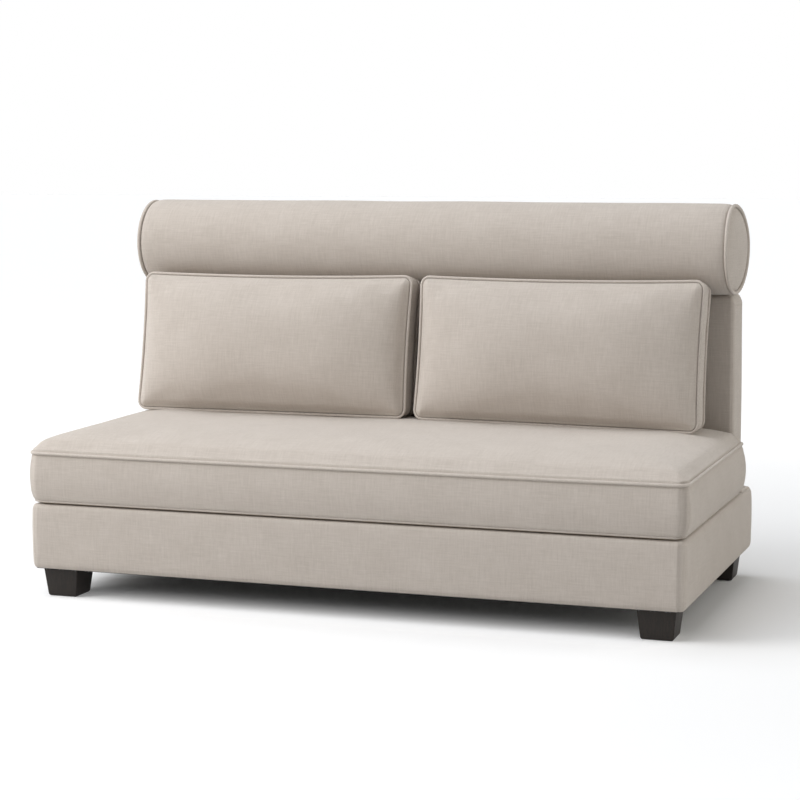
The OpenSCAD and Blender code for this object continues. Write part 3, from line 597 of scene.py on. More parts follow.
def piping_tree():
    """Geometry nodes: a covered cord along the object's edges, with its own cloth map."""
    tree, given, result = new_tree("GeometryNodeTree", "covered cord", [
        ("Path", "Geometry"), ("Cord radius", "Float", 0.0055), ("Spacing", "Float", 0.006),
        ("Sides", "Int", 12), ("Cloth", "Material"),
    ], [("Cord", "Geometry")])
    path, radius, spacing, sides, cloth = list(given.outputs)[:5]

    def keep_length(curve, name):
        """Stores how far along its curve each point lies."""
        length = put(tree, "GeometryNodeSplineParameter").outputs["Length"]
        inputs = {"Geometry": curve.outputs[0], "Name": name, "Value": length}
        return put(tree, "GeometryNodeStoreNamedAttribute", inputs).outputs[0]

    seam = put(tree, "GeometryNodeMeshToCurve", {0: path})
    even = put(tree, "GeometryNodeResampleCurve", {"Curve": seam.outputs[0], "Length": spacing}, mode="LENGTH")
    ring = put(tree, "GeometryNodeCurvePrimitiveCircle", {"Resolution": sides, "Radius": radius})
    tube = put(tree, "GeometryNodeCurveToMesh", {
        "Curve": keep_length(even, "run"), "Profile Curve": keep_length(ring, "round")})
    clothed = put(tree, "GeometryNodeSetMaterial", {"Geometry": tube.outputs[0], "Material": cloth})
    real = put(tree, "GeometryNodeRealizeInstances", {"Geometry": clothed.outputs[0]})
    feed(tree, result, {0: real.outputs[0]})
    return tree


covered_cord = piping_tree()


def grow(name, points, edges, tree, settings):
    """Runs a geometry node tree on a path of points and returns the plain mesh it makes."""
    mesh = bpy.data.meshes.new(name)
    mesh.from_pydata(points, edges, [])
    holder = show(name + "_path", mesh)
    modifier = holder.modifiers.new("grow", "NODES")
    modifier.node_group = tree
    sockets = {item.name: item.identifier for item in tree.interface.items_tree if item.in_out == "INPUT"}
    for label, value in settings.items():
        modifier[sockets[label]] = value
    bpy.context.view_layer.update()
    graph = bpy.context.evaluated_depsgraph_get()
    grown = bpy.data.meshes.new_from_object(holder.evaluated_get(graph))
    holder.modifiers.clear()
    bpy.data.objects.remove(holder)
    bm = bmesh.new()
    bm.from_mesh(grown)
    bmesh.ops.remove_doubles(bm, verts=bm.verts, dist=1e-6)
    bmesh.ops.recalc_face_normals(bm, faces=bm.faces)
    bm.to_mesh(grown)
    bm.free()
    grown.name = name
    return grown


def in_line(points):
    """Edges from each point to the next."""
    return [(i, i + 1) for i in range(len(points) - 1)]


def joined(meshes, name):
    """One mesh made of several."""
    bm = bmesh.new()
    for mesh in meshes:
        bm.from_mesh(mesh)
    return to_mesh(bm, name)


def cord_cloth(mesh, cord_r):
    """Turns the cord's run and round attributes into its cloth map, in metres."""
    run, around = mesh.attributes["run"].data, mesh.attributes["round"].data
    layer = mesh.uv_layers.new(name="cloth")
    longest, girth = max(d.value for d in run), 2 * math.pi * cord_r

    def unwrapped(values, whole):
        """Takes the low values of a face that closes the round once more round."""
        closes = max(values) > whole * 0.75
        return [value + (whole if closes and value < whole * 0.25 else 0) for value in values]

    for face in mesh.polygons:
        at = [mesh.loops[c].vertex_index for c in face.loop_indices]
        s = unwrapped([run[i].value for i in at], longest)
        t = unwrapped([around[i].value for i in at], girth)
        for c, uv in zip(face.loop_indices, zip(s, t)):
            layer.data[c].uv = uv


def pipe_seams(name, paths, cord_r, body, node_names):
    """Covered cords along one or more closed seams, as one piece."""
    meshes = []
    for i, points in enumerate(paths):
        settings = {"Cord radius": cord_r, "Spacing": 0.006, "Sides": 12, "Cloth": piping_cloth}
        closing = [(len(points) - 1, 0)]
        cord = grow(f"{name}_{i}", points, in_line(points) + closing, covered_cord, settings)
        cord_cloth(cord, cord_r)
        meshes.append(cord)
    mesh = joined(meshes, name)
    mesh.shade_smooth()
    add_piece(mesh, name, piping_cloth, body, node_names)


seat_path, seat_cord_r = make_seat()
pipe_seams("seat_block_piping", [seat_path], seat_cord_r, "base", ["seat_piping"])


# Foam: a fine open cell block foam, cream, cut to shape and glued up under every cover.
def grainy(name, dark, light, roughness, scale, bump_height):
    """Foam, felt or lining: a rough dull skin of small cells or fibres."""
    material, tree, shader = new_material(name)
    place = object_place(tree)
    cells = put(tree, "ShaderNodeTexVoronoi", {"Vector": place, "Scale": scale}).outputs["Distance"]
    fibres = noise_of(tree, place, scale * 0.7, 4.0, 0.65)
    mixed = calc(tree, "MULTIPLY_ADD", cells, 0.5, calc(tree, "MULTIPLY", fibres, 0.6))
    surface(tree, shader, mixed, ((0.2, dark), (0.75, light)), (-0.1, roughness), (mixed, 0.5, bump_height))
    return material


cream_foam = grainy("cream foam", (0.62, 0.55, 0.38), (0.83, 0.78, 0.6), 0.95, 700.0, 0.0006)


def stuffing(cover, name, depth, body, node_names):
    """The foam inside a cover: the same form, a little smaller all round."""
    mesh = cover.data.copy()
    mesh.name = name
    normals = [v.normal.copy() for v in mesh.vertices]
    for v, normal in zip(mesh.vertices, normals):
        v.co -= normal * depth
    return add_piece(mesh, name, cream_foam, body, node_names)


# Backrest: a webbed timber frame under foam, in a linen cover with a front and rear panel
# and a boxing strip at each end, joined by flat seams. Its lower end is round about the hinge.
def backrest_outline(low, high, corner_r):
    """Points (y, z, outward y, outward z) of the section: round below, two small radii above."""
    radius = (high.y - low.y) / 2
    centre_y, centre_z = (low.y + high.y) / 2, low.z + radius
    top, inner = high.z - corner_r, radius - corner_r
    points = []

    def arc(cy, cz, r, start, sweep, steps):
        for i in range(steps + 1):
            turn = start + sweep * i / steps
            points.append((cy + r * math.cos(turn), cz + r * math.sin(turn), math.cos(turn), math.sin(turn)))

    arc(centre_y, centre_z, radius, math.pi, math.pi, 48)
    points += [(high.y, centre_z + (top - centre_z) * i / 36, 1, 0) for i in range(1, 36)]
    arc(centre_y + inner, top, corner_r, 0, math.pi / 2, 8)
    points += [(centre_y + inner - 2 * inner * i / 10, high.z, 0, 1) for i in range(1, 10)]
    arc(centre_y - inner, top, corner_r, math.pi / 2, math.pi / 2, 8)
    points += [(low.y, top + (centre_z - top) * i / 36, -1, 0) for i in range(1, 36)]
    return points, centre_z


def make_backrest():
    low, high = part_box("back_cover")
    past_cad = 0.0008
    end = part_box("back_side_covers")[1].x + past_cad
    outline, centre_z = backrest_outline(low, high, 0.016)
    edge = [
        (0.0, 0.0150), (-0.0005, 0.0111), (-0.0020, 0.0075), (-0.0041, 0.0047), (-0.0068, 0.0025),
        (-0.0083, 0.0024), (-0.0095, 0.0010), (-0.0125, 0.0002), (-0.0150, 0.0), (-0.034, 0.0),
    ]
    stations = [(-(end + x), inset) for x, inset in edge]
    stations += [(i / 60 * (end - 0.05), 0.0) for i in range(-60, 61)]
    stations += [(end + x, inset) for x, inset in reversed(edge)]
    puff_height, turn_reach, turn_drop, turn_taper = 0.004, 0.03, 0.026, 0.003
    bm = bmesh.new()
    rings = []
    for x, inset in stations:
        along = crown_share(end - abs(x), 0.3)
        turned = min(max(abs(x) - end + turn_reach, 0) / turn_reach, 1)
        ring = []
        for y, z, ny, nz in outline:
            upward = crown_share(high.z - z, 0.2) * ease((z - centre_z + 0.05) / 0.15)
            puff = puff_height * along * upward if abs(ny) > 0.9 else 0
            puff += rumple(x, y, z, 0.22, 0.0014, 21) * along
            if ny > 0.9:  # flat low down, to lie clear of the base when reclined
                puff *= ease((z - centre_z - 0.1) / 0.12)
            z += nz * (min(puff, 0) - inset)
            drop = turn_drop * (1 - math.sqrt(1 - turned * turned)) * ease((z - high.z + 0.04) / 0.04)
            taper = math.copysign(turn_taper * ease((z - 0.5) / 0.32) * turned, x)
            ring.append(bm.verts.new((x - taper, y + ny * (puff - inset), z - drop)))
        rings.append(ring)
    bridge(bm, rings)
    lowest, topmost = 24, 97
    for ring in (rings[0], rings[-1]):  # closed by level strips, from the lowest point to the top
        for i in range(lowest, topmost):
            corners = (ring[i], ring[i + 1], ring[2 * lowest - i - 1], ring[2 * lowest - i])
            bm.faces.new(list(dict.fromkeys(corners)))
    cover = linen_cover(bm, "backrest_cover", "backrest", ["back_cover", "back_side_covers"])
    stuffing(cover, "backrest_foam", 0.0042, "backrest", ["back_foam"])


make_backrest()


# Head roll: a round bolster of foam on a timber core, its linen tube closed by a seam along
# the rear, with a domed disc piped in at each end. It stands on two steel posts.
roll_seam_turn = math.radians(-50)


def circle(radius, cy, cz, steps):
    """Points (y, z) round a circle."""
    turns = [2 * math.pi * i / steps for i in range(steps)]
    return [(cy + radius * math.cos(turn), cz + radius * math.sin(turn)) for turn in turns]


def ring_of(bm, x, radius, cy, cz, steps, shape=None):
    """A ring of vertices at x; shape is a rule of x and turn that adds to its radius."""
    verts = []
    for i in range(steps):
        turn = 2 * math.pi * i / steps
        r = radius + (shape(x, turn) if shape else 0)
        verts.append(bm.verts.new((x, cy + r * math.cos(turn), cz + r * math.sin(turn))))
    return verts


def make_roll():
    low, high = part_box("roll_cover")
    radius, end = (high.z - low.z) / 2, high.x
    cy, cz = (low.y + high.y) / 2, (low.z + high.z) / 2
    seam_depth, seam_width, gather_depth, gather_reach = 0.0022, 0.004, 0.00045, 0.035

    def uneven(x, turn):
        """Unevenness of the tube: gathers near the piping, the rear seam's furrow, soft swells."""
        near_end = math.exp(-(end - abs(x)) / gather_reach)
        gathers = gather_depth * near_end * math.sin(46 * turn + 3 * math.sin(3 * turn + x))
        away = (turn - roll_seam_turn + math.pi) % (2 * math.pi) - math.pi
        furrow = -seam_depth * math.exp(-((away * radius / seam_width) ** 2))
        swell = rumple(x, math.cos(turn) * radius, math.sin(turn) * radius, 0.2, 0.0014, 31)
        return gathers + furrow + swell * (1 - near_end)

    def slant(x, y, z):
        """The right-hand end is packed a little askew: its rear stands out, its top falls back."""
        reach, tilt, back, bend_above, bend_below = 0.12, 0.0105, 0.0072, 0.009, 0.003
        up = (z - cz) / radius
        askew = tilt * (y - cy) / radius - back - (bend_above if up > 0 else bend_below) * up * up
        return x + askew * ease((x - end + reach) / reach), y, z

    edge = [
        (-0.0075, -0.0125), (0.0005, -0.0112), (-0.0006, -0.0080), (-0.0026, -0.0056),
        (-0.0065, -0.0036), (-0.0125, -0.0021), (-0.0205, -0.0010), (-0.031, -0.0004), (-0.044, 0.0),
    ]
    stations = [(-(end + x), radius + r) for x, r in edge]
    stations += [(i / 90 * (end - 0.058), radius) for i in range(-90, 91)]
    stations += [(end + x, radius + r) for x, r in reversed(edge)]
    bm = bmesh.new()
    bridge(bm, [ring_of(bm, x, r, cy, cz, 128, uneven) for x, r in stations], True)
    for v in bm.verts:
        v.co = slant(*v.co)
    tube = linen_cover(bm, "head_roll_cover", "head_roll", ["roll_cover"])
    layer = tube.data.uv_layers["cloth"]
    for face in tube.data.polygons:
        if abs(face.normal.x) > 0.8:
            continue
        points = [tube.data.vertices[i].co for i in face.vertices]
        turns = [math.atan2(point.z - cz, point.y - cy) for point in points]
        wraps = max(turns) - min(turns) > math.pi
        for corner, point, turn in zip(face.loop_indices, points, turns):
            layer.data[corner].uv = (point.x, (turn + (2 * math.pi if wraps and turn < 0 else 0)) * radius)
    stuffing(tube, "head_roll_foam", 0.0035, "head_roll", ["roll_foam"])

    dome, rim, rim_in, back_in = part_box("roll_end_caps")[1].x - end, radius - 0.0088, 0.0022, 0.004
    bm = bmesh.new()
    for side, extra in ((-1, 0.0120), (1, 0.0070)):
        rings = [ring_of(bm, side * (end - back_in), rim, cy, cz, 96)]
        for share in (1.0, 0.985, 0.96, 0.92, 0.86, 0.78, 0.68, 0.56, 0.42, 0.28, 0.14):
            lift = (dome + extra) * math.sqrt(max(1 - share ** 2.2, 0))
            rings.append(ring_of(bm, side * (end - rim_in + lift), rim * share, cy, cz, 96))
        bridge(bm, rings, True)
    for v in bm.verts:
        v.co = slant(*v.co)
    linen_cover(bm, "head_roll_end_discs", "head_roll", ["roll_end_caps"])

    cord_r, ring_r = (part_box("roll_piping")[1].x - end) / 2 - 0.0001, radius - 0.0062
    ring = circle(ring_r, cy, cz, 120)
    left, right = ([(side * (end + cord_r), y, z) for y, z in ring] for side in (-1, 1))
    right = [slant(*point) for point in right]
    pipe_seams("head_roll_piping", [left, right], cord_r, "head_roll", ["roll_piping"])


make_roll()


# Loose cushions: two boxed pads of fibre and foam in linen, a piped seam round both faces, a
# zip in the lower band. They lean on the backrest and their lower edges follow the seat's crown.
cushions = ((-1, "left"), (1, "right"))
cushion_half_h, cushion_band = 0.206, 0.08
cushion_lifts = {-1: (0.010, 0.013, 0.017, 0.021), 1: (0.013, 0.0035, 0.021, 0.023)}


def cushion_place(side, word):
    """Half width of a cushion, and the rule that takes a point of it, lying on its back, to its
    place: its sides pull in between the corners, its lower band lies flat on the seat, and each
    corner takes the rise that the seat's crown gives it."""
    low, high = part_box(f"cushion_{word}_cover")
    centre, half_w = (low + high) / 2, (high.x - low.x) / 2
    stand = Matrix.Translation(centre) @ Matrix.Rotation(math.pi / 2 - math.radians(10), 4, "X")
    waist_w, waist_h, seat_slope = 0.0052, 0.0080, 0.177
    left_in, right_in = (0.019, 0.003) if side < 0 else (-0.006, 0.0)
    lower_left, lower_right, upper_left, upper_right = cushion_lifts[side]

    def settle(x, y, z):
        across, up = x / half_w, y / cushion_half_h
        x -= math.copysign(waist_w * abs(across) ** 3 * max(math.cos(up * math.pi / 2), 0) ** 0.9, x)
        if up > 0:
            y -= waist_h * up ** 3 * max(math.cos(across * math.pi / 2), 0) ** 0.8
        x -= left_in * max(-across, 0) + right_in * max(across, 0)
        y -= seat_slope * z * ease(-up)
        s, t = (across + 1) / 2, (up + 1) / 2
        lower = lower_left * (1 - s) + lower_right * s
        y += lower * (1 - t) + (upper_left * (1 - s) + upper_right * s) * t
        return Vector((x, y, z))

    return half_w, settle, stand


def inflate(piece, held, cap, pressure, frames):
    """Cloth simulation: blows the cover up between its held seams and keeps the result."""
    start = [v.co.copy() for v in piece.data.vertices]
    group = piece.vertex_groups.new(name="seams")
    group.add(held, 1.0, "REPLACE")
    cloth = piece.modifiers.new("inflate", "CLOTH")
    rules = cloth.settings
    rules.quality = 4
    rules.mass = 0.25
    rules.tension_stiffness = rules.compression_stiffness = 12
    rules.shear_stiffness = 4
    rules.bending_stiffness = 0.6
    rules.use_pressure = True
    rules.uniform_pressure_force = pressure
    rules.shrink_min = -0.012
    rules.vertex_group_mass = "seams"
    rules.effector_weights.gravity = 0
    cloth.collision_settings.use_collision = False
    cloth.point_cache.frame_start, cloth.point_cache.frame_end = 1, frames
    for step in range(1, frames + 1):
        scene.frame_set(step)
    graph = bpy.context.evaluated_depsgraph_get()
    blown = bpy.data.meshes.new_from_object(piece.evaluated_get(graph))
    moves = [target.co - origin for target, origin in zip(blown.vertices, start)]
    beside = [[] for _ in moves]
    for edge in piece.data.edges:
        i, j = edge.vertices
        beside[i].append(j)
        beside[j].append(i)
    fixed = set(held)
    own_share, shared = 0.4, 0.6
    for _ in range(10):
        moves = [
            move if i in fixed
            else move * own_share + sum((moves[j] for j in beside[i]), Vector()) * (shared / len(beside[i]))
            for i, move in enumerate(moves)
        ]
    for v, move, origin in zip(piece.data.vertices, moves, start):
        v.co = origin + move * (cap / (cap + move.length))
    piece.modifiers.clear()
    piece.vertex_groups.clear()
    bpy.data.meshes.remove(blown)
    scene.frame_set(1)


def make_cushion(side, word):
    name, node = word + "_cushion", f"cushion_{word}_"
    half_w, settle, stand = cushion_place(side, word)
    half_h, level, radius, seed = cushion_half_h, cushion_band / 2, 0.03, 40 + 13 * side
    front_rise, rear_rise, lip, uneven = 0.083, 0.030, 0.0012, 0.05
    rim_share, slow_share = 0.22, 0.78
    rim_reach, slow_w, slow_h, slow_power = 0.06, 0.33, 0.2, 2.2

    def bulge(x, y, inset, rise):
        in_w, in_h = half_w - abs(x), half_h - abs(y)
        short = sum((1 - crown_share(inward, rim_reach)) ** 3 for inward in (in_w, in_h)) ** (1 / 3)
        slow = (1 - (1 - min(in_w / slow_w, 1)) ** slow_power) * (1 - (1 - min(in_h / slow_h, 1)) ** slow_power)
        crown = rim_share * (1 - min(short, 1)) + slow_share * slow
        lift = lip + rise * crown * seam_hold(inset, radius)
        return level + lift * (1 + uneven * noise.noise(Vector((x * 4 + seed, y * 4, 0))))

    def face(x, y, inset):
        return bulge(x, y, inset, front_rise)

    def rear(x, y, inset):
        return -bulge(x, y, inset, rear_rise)

    by_seam = [
        (0.0047, -0.0135), (0.0058, -0.0075), (0.0066, -0.0035), (0.0080, -0.0014), (0.0085, 0.0002),
    ]
    face_insets = (0.0090, 0.0106, 0.0135, 0.018, 0.0235, radius)
    front = [(inset, level + past) for inset, past in by_seam] + [(i, face) for i in face_insets]
    behind = [(inset, rear if callable(height) else -height) for inset, height in reversed(front)]
    hollow, waist, wall = 0.0042, 0.0036, cushion_band - 0.027
    sides = [
        (hollow - waist * math.sin(math.pi * t / 10), -level + 0.0135 + wall * t / 10)
        for t in range(1, 10)
    ]
    bm = padded_block(half_w, half_h, radius, (92, 42, 9), behind + sides + front, rear, face)
    for v in bm.verts:
        v.co = settle(*v.co)
    cover = linen_cover(bm, name + "_cover", name, [node + "cover"])
    near_seam = [v.index for v in cover.data.vertices if abs(abs(v.co.z) - level) < 0.0045]
    inflate(cover, near_seam, 0.012, 1.3, 14)
    smoother = cover.modifiers.new("smooth", "SUBSURF")
    smoother.levels = smoother.render_levels = 1
    graph = bpy.context.evaluated_depsgraph_get()
    finer = bpy.data.meshes.new_from_object(cover.evaluated_get(graph))
    cover.modifiers.clear()
    cover.data = finer
    finer.transform(stand)
    finer.shade_smooth()
    stuffing(cover, name + "_filling", 0.004, name, [node + "filling"])

    cord_r, cord_in, cord_out = 0.0043, 0.0040, 0.0012
    loop = block_outline(half_w - cord_in, half_h - cord_in, radius - cord_in, 92, 42, 9)
    paths = [
        [stand @ settle(x, y, end * (level + cord_out)) for x, y, nx, ny in loop] for end in (-1, 1)
    ]
    pipe_seams(name + "_piping", paths, cord_r, name, [node + "piping"])


for cushion_side, cushion_word in cushions:
    make_cushion(cushion_side, cushion_word)


# Zips: a woven tape with two rows of moulded teeth, a slider and its pull, sewn into the
# middle of each cushion's lower band.
plastic_black, tree, shader = new_material("black moulded plastic")
fleck = noise_of(tree, object_place(tree), 900.0)
stops = ((0.3, (0.010, 0.010, 0.011)), (0.7, (0.018, 0.018, 0.019)))
surface(tree, shader, fleck, stops, (0.25, 0.35), (fleck, 0.2, 0.0001))


def parts_in_row_tree():
    """Geometry nodes: a small part set at even steps along the object's edges."""
    tree, given, result = new_tree("GeometryNodeTree", "parts in a row", [
        ("Path", "Geometry"), ("Part", "Object"), ("Step", "Float", 0.035), ("Finish", "Material"),
    ], [("Row", "Geometry")])
    path, part, step, finish = list(given.outputs)[:4]
    curve = put(tree, "GeometryNodeMeshToCurve", {0: path})
    level = put(tree, "GeometryNodeSetCurveNormal", {"Curve": curve.outputs[0]}, mode="Z_UP")
    spots = put(tree, "GeometryNodeCurveToPoints", {"Curve": level.outputs[0], "Length": step}, mode="LENGTH")
    shape = put(tree, "GeometryNodeObjectInfo", {"Object": part})
    row = put(tree, "GeometryNodeInstanceOnPoints", {
        "Points": spots.outputs["Points"], "Instance": shape.outputs["Geometry"],
        "Rotation": spots.outputs["Rotation"],
    })
    real = put(tree, "GeometryNodeRealizeInstances", {"Geometry": row.outputs[0]})
    finished = put(tree, "GeometryNodeSetMaterial", {"Geometry": real.outputs[0], "Material": finish})
    feed(tree, result, {0: finished.outputs[0]})
    return tree


parts_in_row = parts_in_row_tree()


def row_of(name, rings, points, edges, step, finish):
    """A mesh of small closed parts in a row along points. Rings of points (x, y, z) shape one
    part, and its z runs along the row."""
    bm = bmesh.new()
    bridge(bm, [[bm.verts.new(p) for p in ring] for ring in rings], True)
    bmesh.ops.recalc_face_normals(bm, faces=bm.faces)
    part = show(name + "_part", to_mesh(bm, name + "_part"))
    row = grow(name, points, edges, parts_in_row, {"Part": part, "Step": step, "Finish": finish})
    bpy.data.objects.remove(part)
    return row


def make_zip(side, word):
    name = word + "_cushion"
    settle, stand = cushion_place(side, word)[1:]
    reach = middle(*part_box(f"cushion_{word}_zip"))[1].x
    into_band, steps = 0.0004, 40

    def under(x, z, out):
        """A point below the lower band, x along it, z across it and out of it."""
        return stand @ settle(x, into_band - cushion_half_h - out, z)

    bm = bmesh.new()
    tape = ((0.0007, 0), (0.0125, 0), (0.0125, 0.0009), (0.0007, 0.0009))
    for edge in (-1, 1):
        xs = [reach * (2 * i / steps - 1) for i in range(steps + 1)]
        bridge(bm, [[bm.verts.new(under(x, edge * z, out)) for z, out in tape] for x in xs], True)
    bmesh.ops.recalc_face_normals(bm, faces=bm.faces)
    meshes = [to_mesh(bm, name + "_zip_tape")]

    half_wide, half_high, stagger, from_middle, stop = 0.0019, 0.0008, 0.00055, 0.0012, 0.002
    tooth = [
        [(sx * half_wide * k, sy * half_high * k, z) for sx, sy in quadrants]
        for z, k in ((-0.0006, 0.8), (-0.0003, 1.0), (0.0003, 1.0), (0.0006, 0.8))
    ]
    for edge in (-1, 1):
        xs = [(reach - stop) * (2 * i / steps - 1) + stagger * edge for i in range(steps + 1)]
        points = [under(x, edge * from_middle, from_middle) for x in xs]
        meshes.append(row_of(name + "_teeth", tooth, points, in_line(points), 0.0025, plastic_black))

    bm = bmesh.new()
    start = 0.014 - reach

    def plate(half_outline, outs):
        """A flat part of the slider from one half of its outline (x, z), between two heights."""
        outline = half_outline + [(x, -z) for x, z in reversed(half_outline)]
        bridge(bm, [[bm.verts.new(under(start + x, z, out)) for x, z in outline] for out in outs], True)

    plate([(-0.0055, 0.0034), (-0.0030, 0.0048), (0.0020, 0.0042), (0.0058, 0.0026)], (0.0008, 0.0038))
    bmesh.ops.bevel(bm, geom=bm.edges[:], offset=0.0005, segments=2, profile=0.6, affect="EDGES")
    pull = [(0.001, 0.0022), (0.006, 0.0028), (0.020, 0.0036), (0.0235, 0.0028), (0.0248, 0.0012)]
    plate(pull, (0.0040, 0.0052))
    bmesh.ops.recalc_face_normals(bm, faces=bm.faces)
    meshes.append(to_mesh(bm, name + "_zip_slider"))
    mesh = joined(meshes, name + "_zip")
    add_piece(mesh, name + "_zip", plastic_black, name, [f"cushion_{word}_zip"])


for cushion_side, cushion_word in cushions:
    make_zip(cushion_side, cushion_word)


# Fixings of the covers: flat wire staples hold the turned-in edge of the base's cover and
# the lining under it, and a row of ladder stitches closes the head roll along its rear.
staple_wire, tree, shader = new_material("galvanised staple wire", Metallic=1.0)
drawn = noise_of(tree, object_place(tree), 600.0)
surface(tree, shader, drawn, ((0.3, (0.45, 0.46, 0.47)), (0.7, (0.6, 0.6, 0.61))), (0.25, 0.25))


def fasten_base():
    """Staples in a line along each side of the lining, clear of its corners."""
    low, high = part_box("base_dust_sheet")
    half_wide, half_thick, leg, half_crown = 0.0006, 0.00035, 0.003, 0.0052
    path = [(leg, -half_crown), (-0.0002, -0.005), (-0.0002, 0.005), (leg, half_crown)]
    rings = []
    for i, (y, z) in enumerate(path):
        before, after = path[max(i - 1, 0)], path[min(i + 1, len(path) - 1)]
        dy, dz = after[0] - before[0], after[1] - before[1]
        ny, nz = (part / math.hypot(dy, dz) * half_thick for part in (-dz, dy))
        rings.append([(sx * half_wide, y + sy * ny, z + sy * nz) for sx, sy in quadrants])
    inset, clear, z = 0.009, 0.03, low.z - 0.0003
    x, y0, y1 = high.x - inset, low.y + inset, high.y - inset
    corners = [
        (-x + clear, y0, z), (x - clear, y0, z), (x, y0 + clear, z), (x, y1 - clear, z),
        (x - clear, y1, z), (-x + clear, y1, z), (-x, y1 - clear, z), (-x, y0 + clear, z),
    ]
    edges = [(i, i + 1) for i in (0, 2, 4, 6)]
    staples = row_of("cover_staples", rings, corners, edges, 0.04, staple_wire)
    add_piece(staples, "cover_staples", staple_wire, "base")


fasten_base()


def stitch_roll():
    low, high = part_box("roll_cover")
    centre, half = middle(low, high)
    in_furrow, reach, thread_r = half.z - 0.0016, high.x * 0.955, 0.00032
    y = centre.y + in_furrow * math.cos(roll_seam_turn)
    z = centre.z + in_furrow * math.sin(roll_seam_turn)
    thread = [
        [(across, up, run) for across, up in circle(thread_r * k, 0, 0, 6)]
        for run, k in ((-0.0019, 0.7), (-0.0013, 1.0), (0.0013, 1.0), (0.0019, 0.7))
    ]
    points = [(reach * (2 * i / 60 - 1), y, z) for i in range(61)]
    stitches = row_of("head_roll_stitches", thread, points, in_line(points), 0.0065, piping_cloth)
    add_piece(stitches, "head_roll_stitches", piping_cloth, "head_roll")


stitch_roll()


# Hidden and working parts: each CAD node keeps its shape and takes the finish of its slot.
def metal(name, dark, light, metallic, roughness, scale, bump_height):
    """Metal or painted metal with a fine skin, from a noise stretched along its length."""
    material, tree, shader = new_material(name, Metallic=metallic)
    place = object_place(tree)
    skin = noise_of(tree, vector(tree, "MULTIPLY", place, scale), 1.0, 4.0, 0.6)
    dull = noise_of(tree, place, 14.0, 3.0)
    rough = calc(tree, "MULTIPLY_ADD", dull, 0.2, calc(tree, "MULTIPLY_ADD", skin, 0.15, roughness - 0.17))
    surface(tree, shader, skin, ((0.3, dark), (0.7, light)), rough, (skin, 0.4, bump_height))
    return material


lengthwise = (0, math.pi / 2, 0)
finishes = {
    "timber": wood("sawn pine", (0.42, 0.27, 0.13), (0.62, 0.44, 0.25), 0.75, 0.0004, 0.5, 0.0, lengthwise),
    "foam": cream_foam,
    "foot_wood": espresso,
    "bright_steel": metal(
        "zinc plated steel", (0.44, 0.45, 0.47), (0.62, 0.62, 0.63), 1.0, 0.38, (40.0, 40.0, 600.0), 0.00004),
    "black_steel": metal(
        "black powder coat", (0.012, 0.012, 0.013), (0.026, 0.026, 0.028), 0.0, 0.5, (700.0,) * 3, 0.0001),
    "black_plastic": plastic_black,
    "black_lining": grainy(
        "black lining felt", (0.012, 0.012, 0.012), (0.04, 0.04, 0.042), 0.95, 1100.0, 0.0003),
    "linen_cloth": linen_cloth,
    "piping_cloth": piping_cloth,
}
for part in frame["record"]["subparts"]:
    node = frame["nodes"][part["node"]]
    if part["material_slot"] in finishes:
        node.data.materials.clear()
        node.data.materials.append(finishes[part["material_slot"]])


# Hinge bolts: a hexagonal head on a washer closes each hinge over its ratchet housing.
def bolt_hinges():
    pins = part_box("hinge_pins")
    cy, cz = (pins[0].y + pins[1].y) / 2, (pins[0].z + pins[1].z) / 2
    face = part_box("ratchet_housings")[1].x
    washer = ((-0.0005, 0.0125), (0.0006, 0.0128), (0.0012, 0.0125), (0.0014, 0.0080))
    head = ((0.0008, 0.0080), (0.0032, 0.0080), (0.0038, 0.0072), (0.0038, 0.0030))
    bm = bmesh.new()
    for side in (-1, 1):
        for sides, steps in ((32, washer), (6, head)):
            rings = [ring_of(bm, side * (face + out), radius, cy, cz, sides) for out, radius in steps]
            bridge(bm, rings, True)
    heads = finish_mesh(bm, "hinge_bolt_heads", finishes["bright_steel"], "backrest")
    heads.data.set_sharp_from_angle(angle=math.radians(35))


bolt_hinges()


# Studio: a white floor that keeps the sofa's shadow, lightened by a painted glow of the floor just
# ahead of the front edge and glowing white far off, a white backdrop that the camera and reflections
# see, and a soft glow, strongest low down, that only lights. A broad lamp above, a large one on the
# left and a low fill on the right.
def seen_share(tree, *kinds):
    """1 for rays of these kinds, 0 for rays that only light."""
    ray = put(tree, "ShaderNodeLightPath")
    seen = ray.outputs["Is Camera Ray"]
    for kind in kinds:
        seen = calc(tree, "MAXIMUM", seen, ray.outputs[kind])
    return seen


def two_colours(tree, seen, hidden_colour, seen_colour):
    mix = put(tree, "ShaderNodeMix", {"Factor": seen}, data_type="RGBA")
    feed(tree, mix, {6: (*hidden_colour, 1), 7: (*seen_colour, 1)})
    return mix.outputs[2]


def fading(tree, value, *limits):
    """A smooth step of a value between limits (from, to, result there, result here)."""
    inputs = {"Value": value, **dict(enumerate(limits, 1))}
    return put(tree, "ShaderNodeMapRange", inputs, interpolation_type="SMOOTHSTEP").outputs[0]


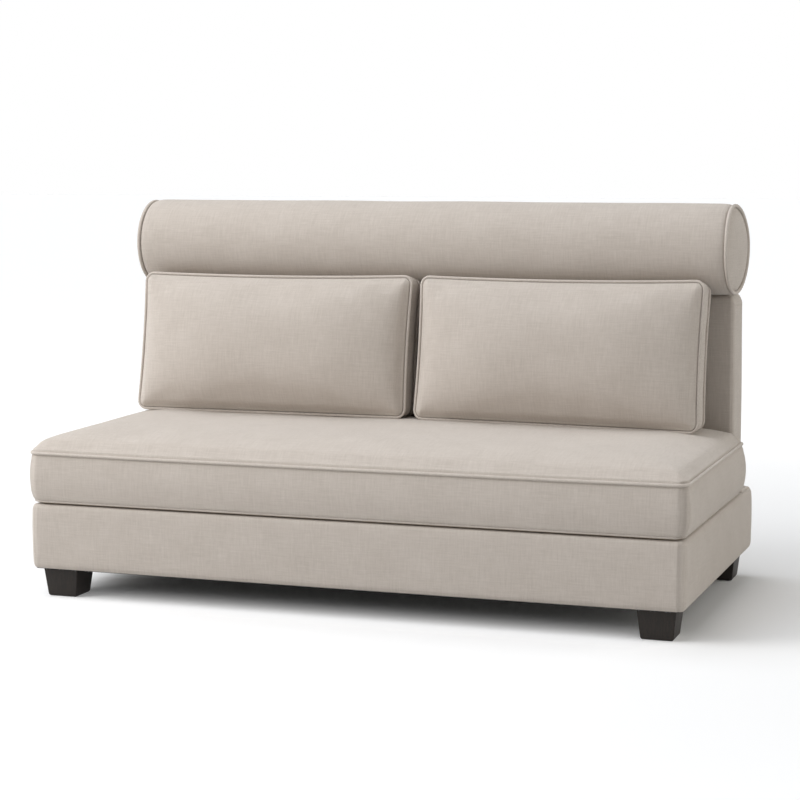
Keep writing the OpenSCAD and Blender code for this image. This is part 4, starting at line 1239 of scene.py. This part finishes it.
floor_mesh = bpy.data.meshes.new("floor")
floor_mesh.from_pydata([(60 * sx, 60 * sy, 0) for sx, sy in quadrants], [], [(0, 1, 2, 3)])
show("floor", floor_mesh)
white_floor, tree, shader = new_material("white studio floor", Roughness=0.9, Specular_IOR_Level=0.1)
seen = seen_share(tree, "Is Glossy Ray")
spot = object_place(tree)
away = put(tree, "ShaderNodeVectorMath", {0: spot}, operation="LENGTH").outputs["Value"]
# Painted light: the camera sees the floor glow in a band just ahead of the sofa's front edge, which lightens
# the shadow there; farther off the floor glows so that it stays white.
front_edge, painted_band_width, painted_shadow_lift = 0.455, 0.106, 0.26
place = put(tree, "ShaderNodeSeparateXYZ", {0: spot})
ahead = calc(tree, "MULTIPLY", calc(tree, "ADD", place.outputs["Y"], front_edge), 1 / painted_band_width)
painted_light_band = calc(tree, "POWER", math.e, calc(tree, "MULTIPLY", calc(tree, "MULTIPLY", ahead, ahead), -1.0))
along = fading(tree, calc(tree, "ABSOLUTE", place.outputs["X"]), 0.75, 1.05, painted_shadow_lift, 0.0)
painted_glow_and_far_white = calc(tree, "MULTIPLY_ADD", painted_light_band, along, fading(tree, away, 1.5, 4.5, 0.0, 0.18))
feed(tree, shader, {
    "Base Color": two_colours(tree, seen, (0.6, 0.597, 0.592), (0.90, 0.90, 0.90)),
    "Emission Color": (1, 1, 1, 1), "Emission Strength": calc(tree, "MULTIPLY", seen, painted_glow_and_far_white),
})
floor_mesh.materials.append(white_floor)

world = bpy.data.worlds.new("studio")
world.use_nodes = True
scene.world = world
tree = world.node_tree
seen = seen_share(tree, "Is Glossy Ray", "Is Transmission Ray")
heading = put(tree, "ShaderNodeSeparateXYZ", {0: put(tree, "ShaderNodeTexCoord").outputs["Generated"]})
low_down = calc(tree, "POWER", calc(tree, "SUBTRACT", 1.0, calc(tree, "ABSOLUTE", heading.outputs["Z"])), 6.0)
glow = calc(tree, "MULTIPLY_ADD", low_down, 0.60, 0.26)
feed(tree, tree.nodes["Background"], {
    "Strength": calc(tree, "MULTIPLY_ADD", seen, calc(tree, "SUBTRACT", 1.0, glow), glow),
    "Color": two_colours(tree, seen, (1, 0.982, 0.95), (1, 1, 1)),
})


def hang_lamp(name, kind, place, target, size, power, colour):
    """A round area lamp, or a distant lamp whose size is its spread in degrees."""
    lamp = bpy.data.lights.new(name, kind)
    lamp.energy, lamp.color = power, colour
    if kind == "AREA":
        lamp.shape, lamp.size = "DISK", size
    else:
        lamp.angle = math.radians(size)
    holder = show(name, lamp)
    holder.location = place
    holder.rotation_euler = (Vector(target) - Vector(place)).to_track_quat("-Z", "Y").to_euler()


hang_lamp("sky lamp", "SUN", (-3.2, -1.0, 6.0), (0, 0, 0), 72, 1.79, (0.935, 0.975, 1.04))
hang_lamp("key lamp", "AREA", (-4.6, -2.8, 3.3), (0, 0, 0.4), 4.4, 211, (1.0, 0.98, 0.955))
hang_lamp("side fill", "SUN", (3.0, 0.6, 1.5), (0, 0, 0), 70, 1.01, (1.0, 0.975, 0.905))

scene.view_settings.view_transform = "Standard"
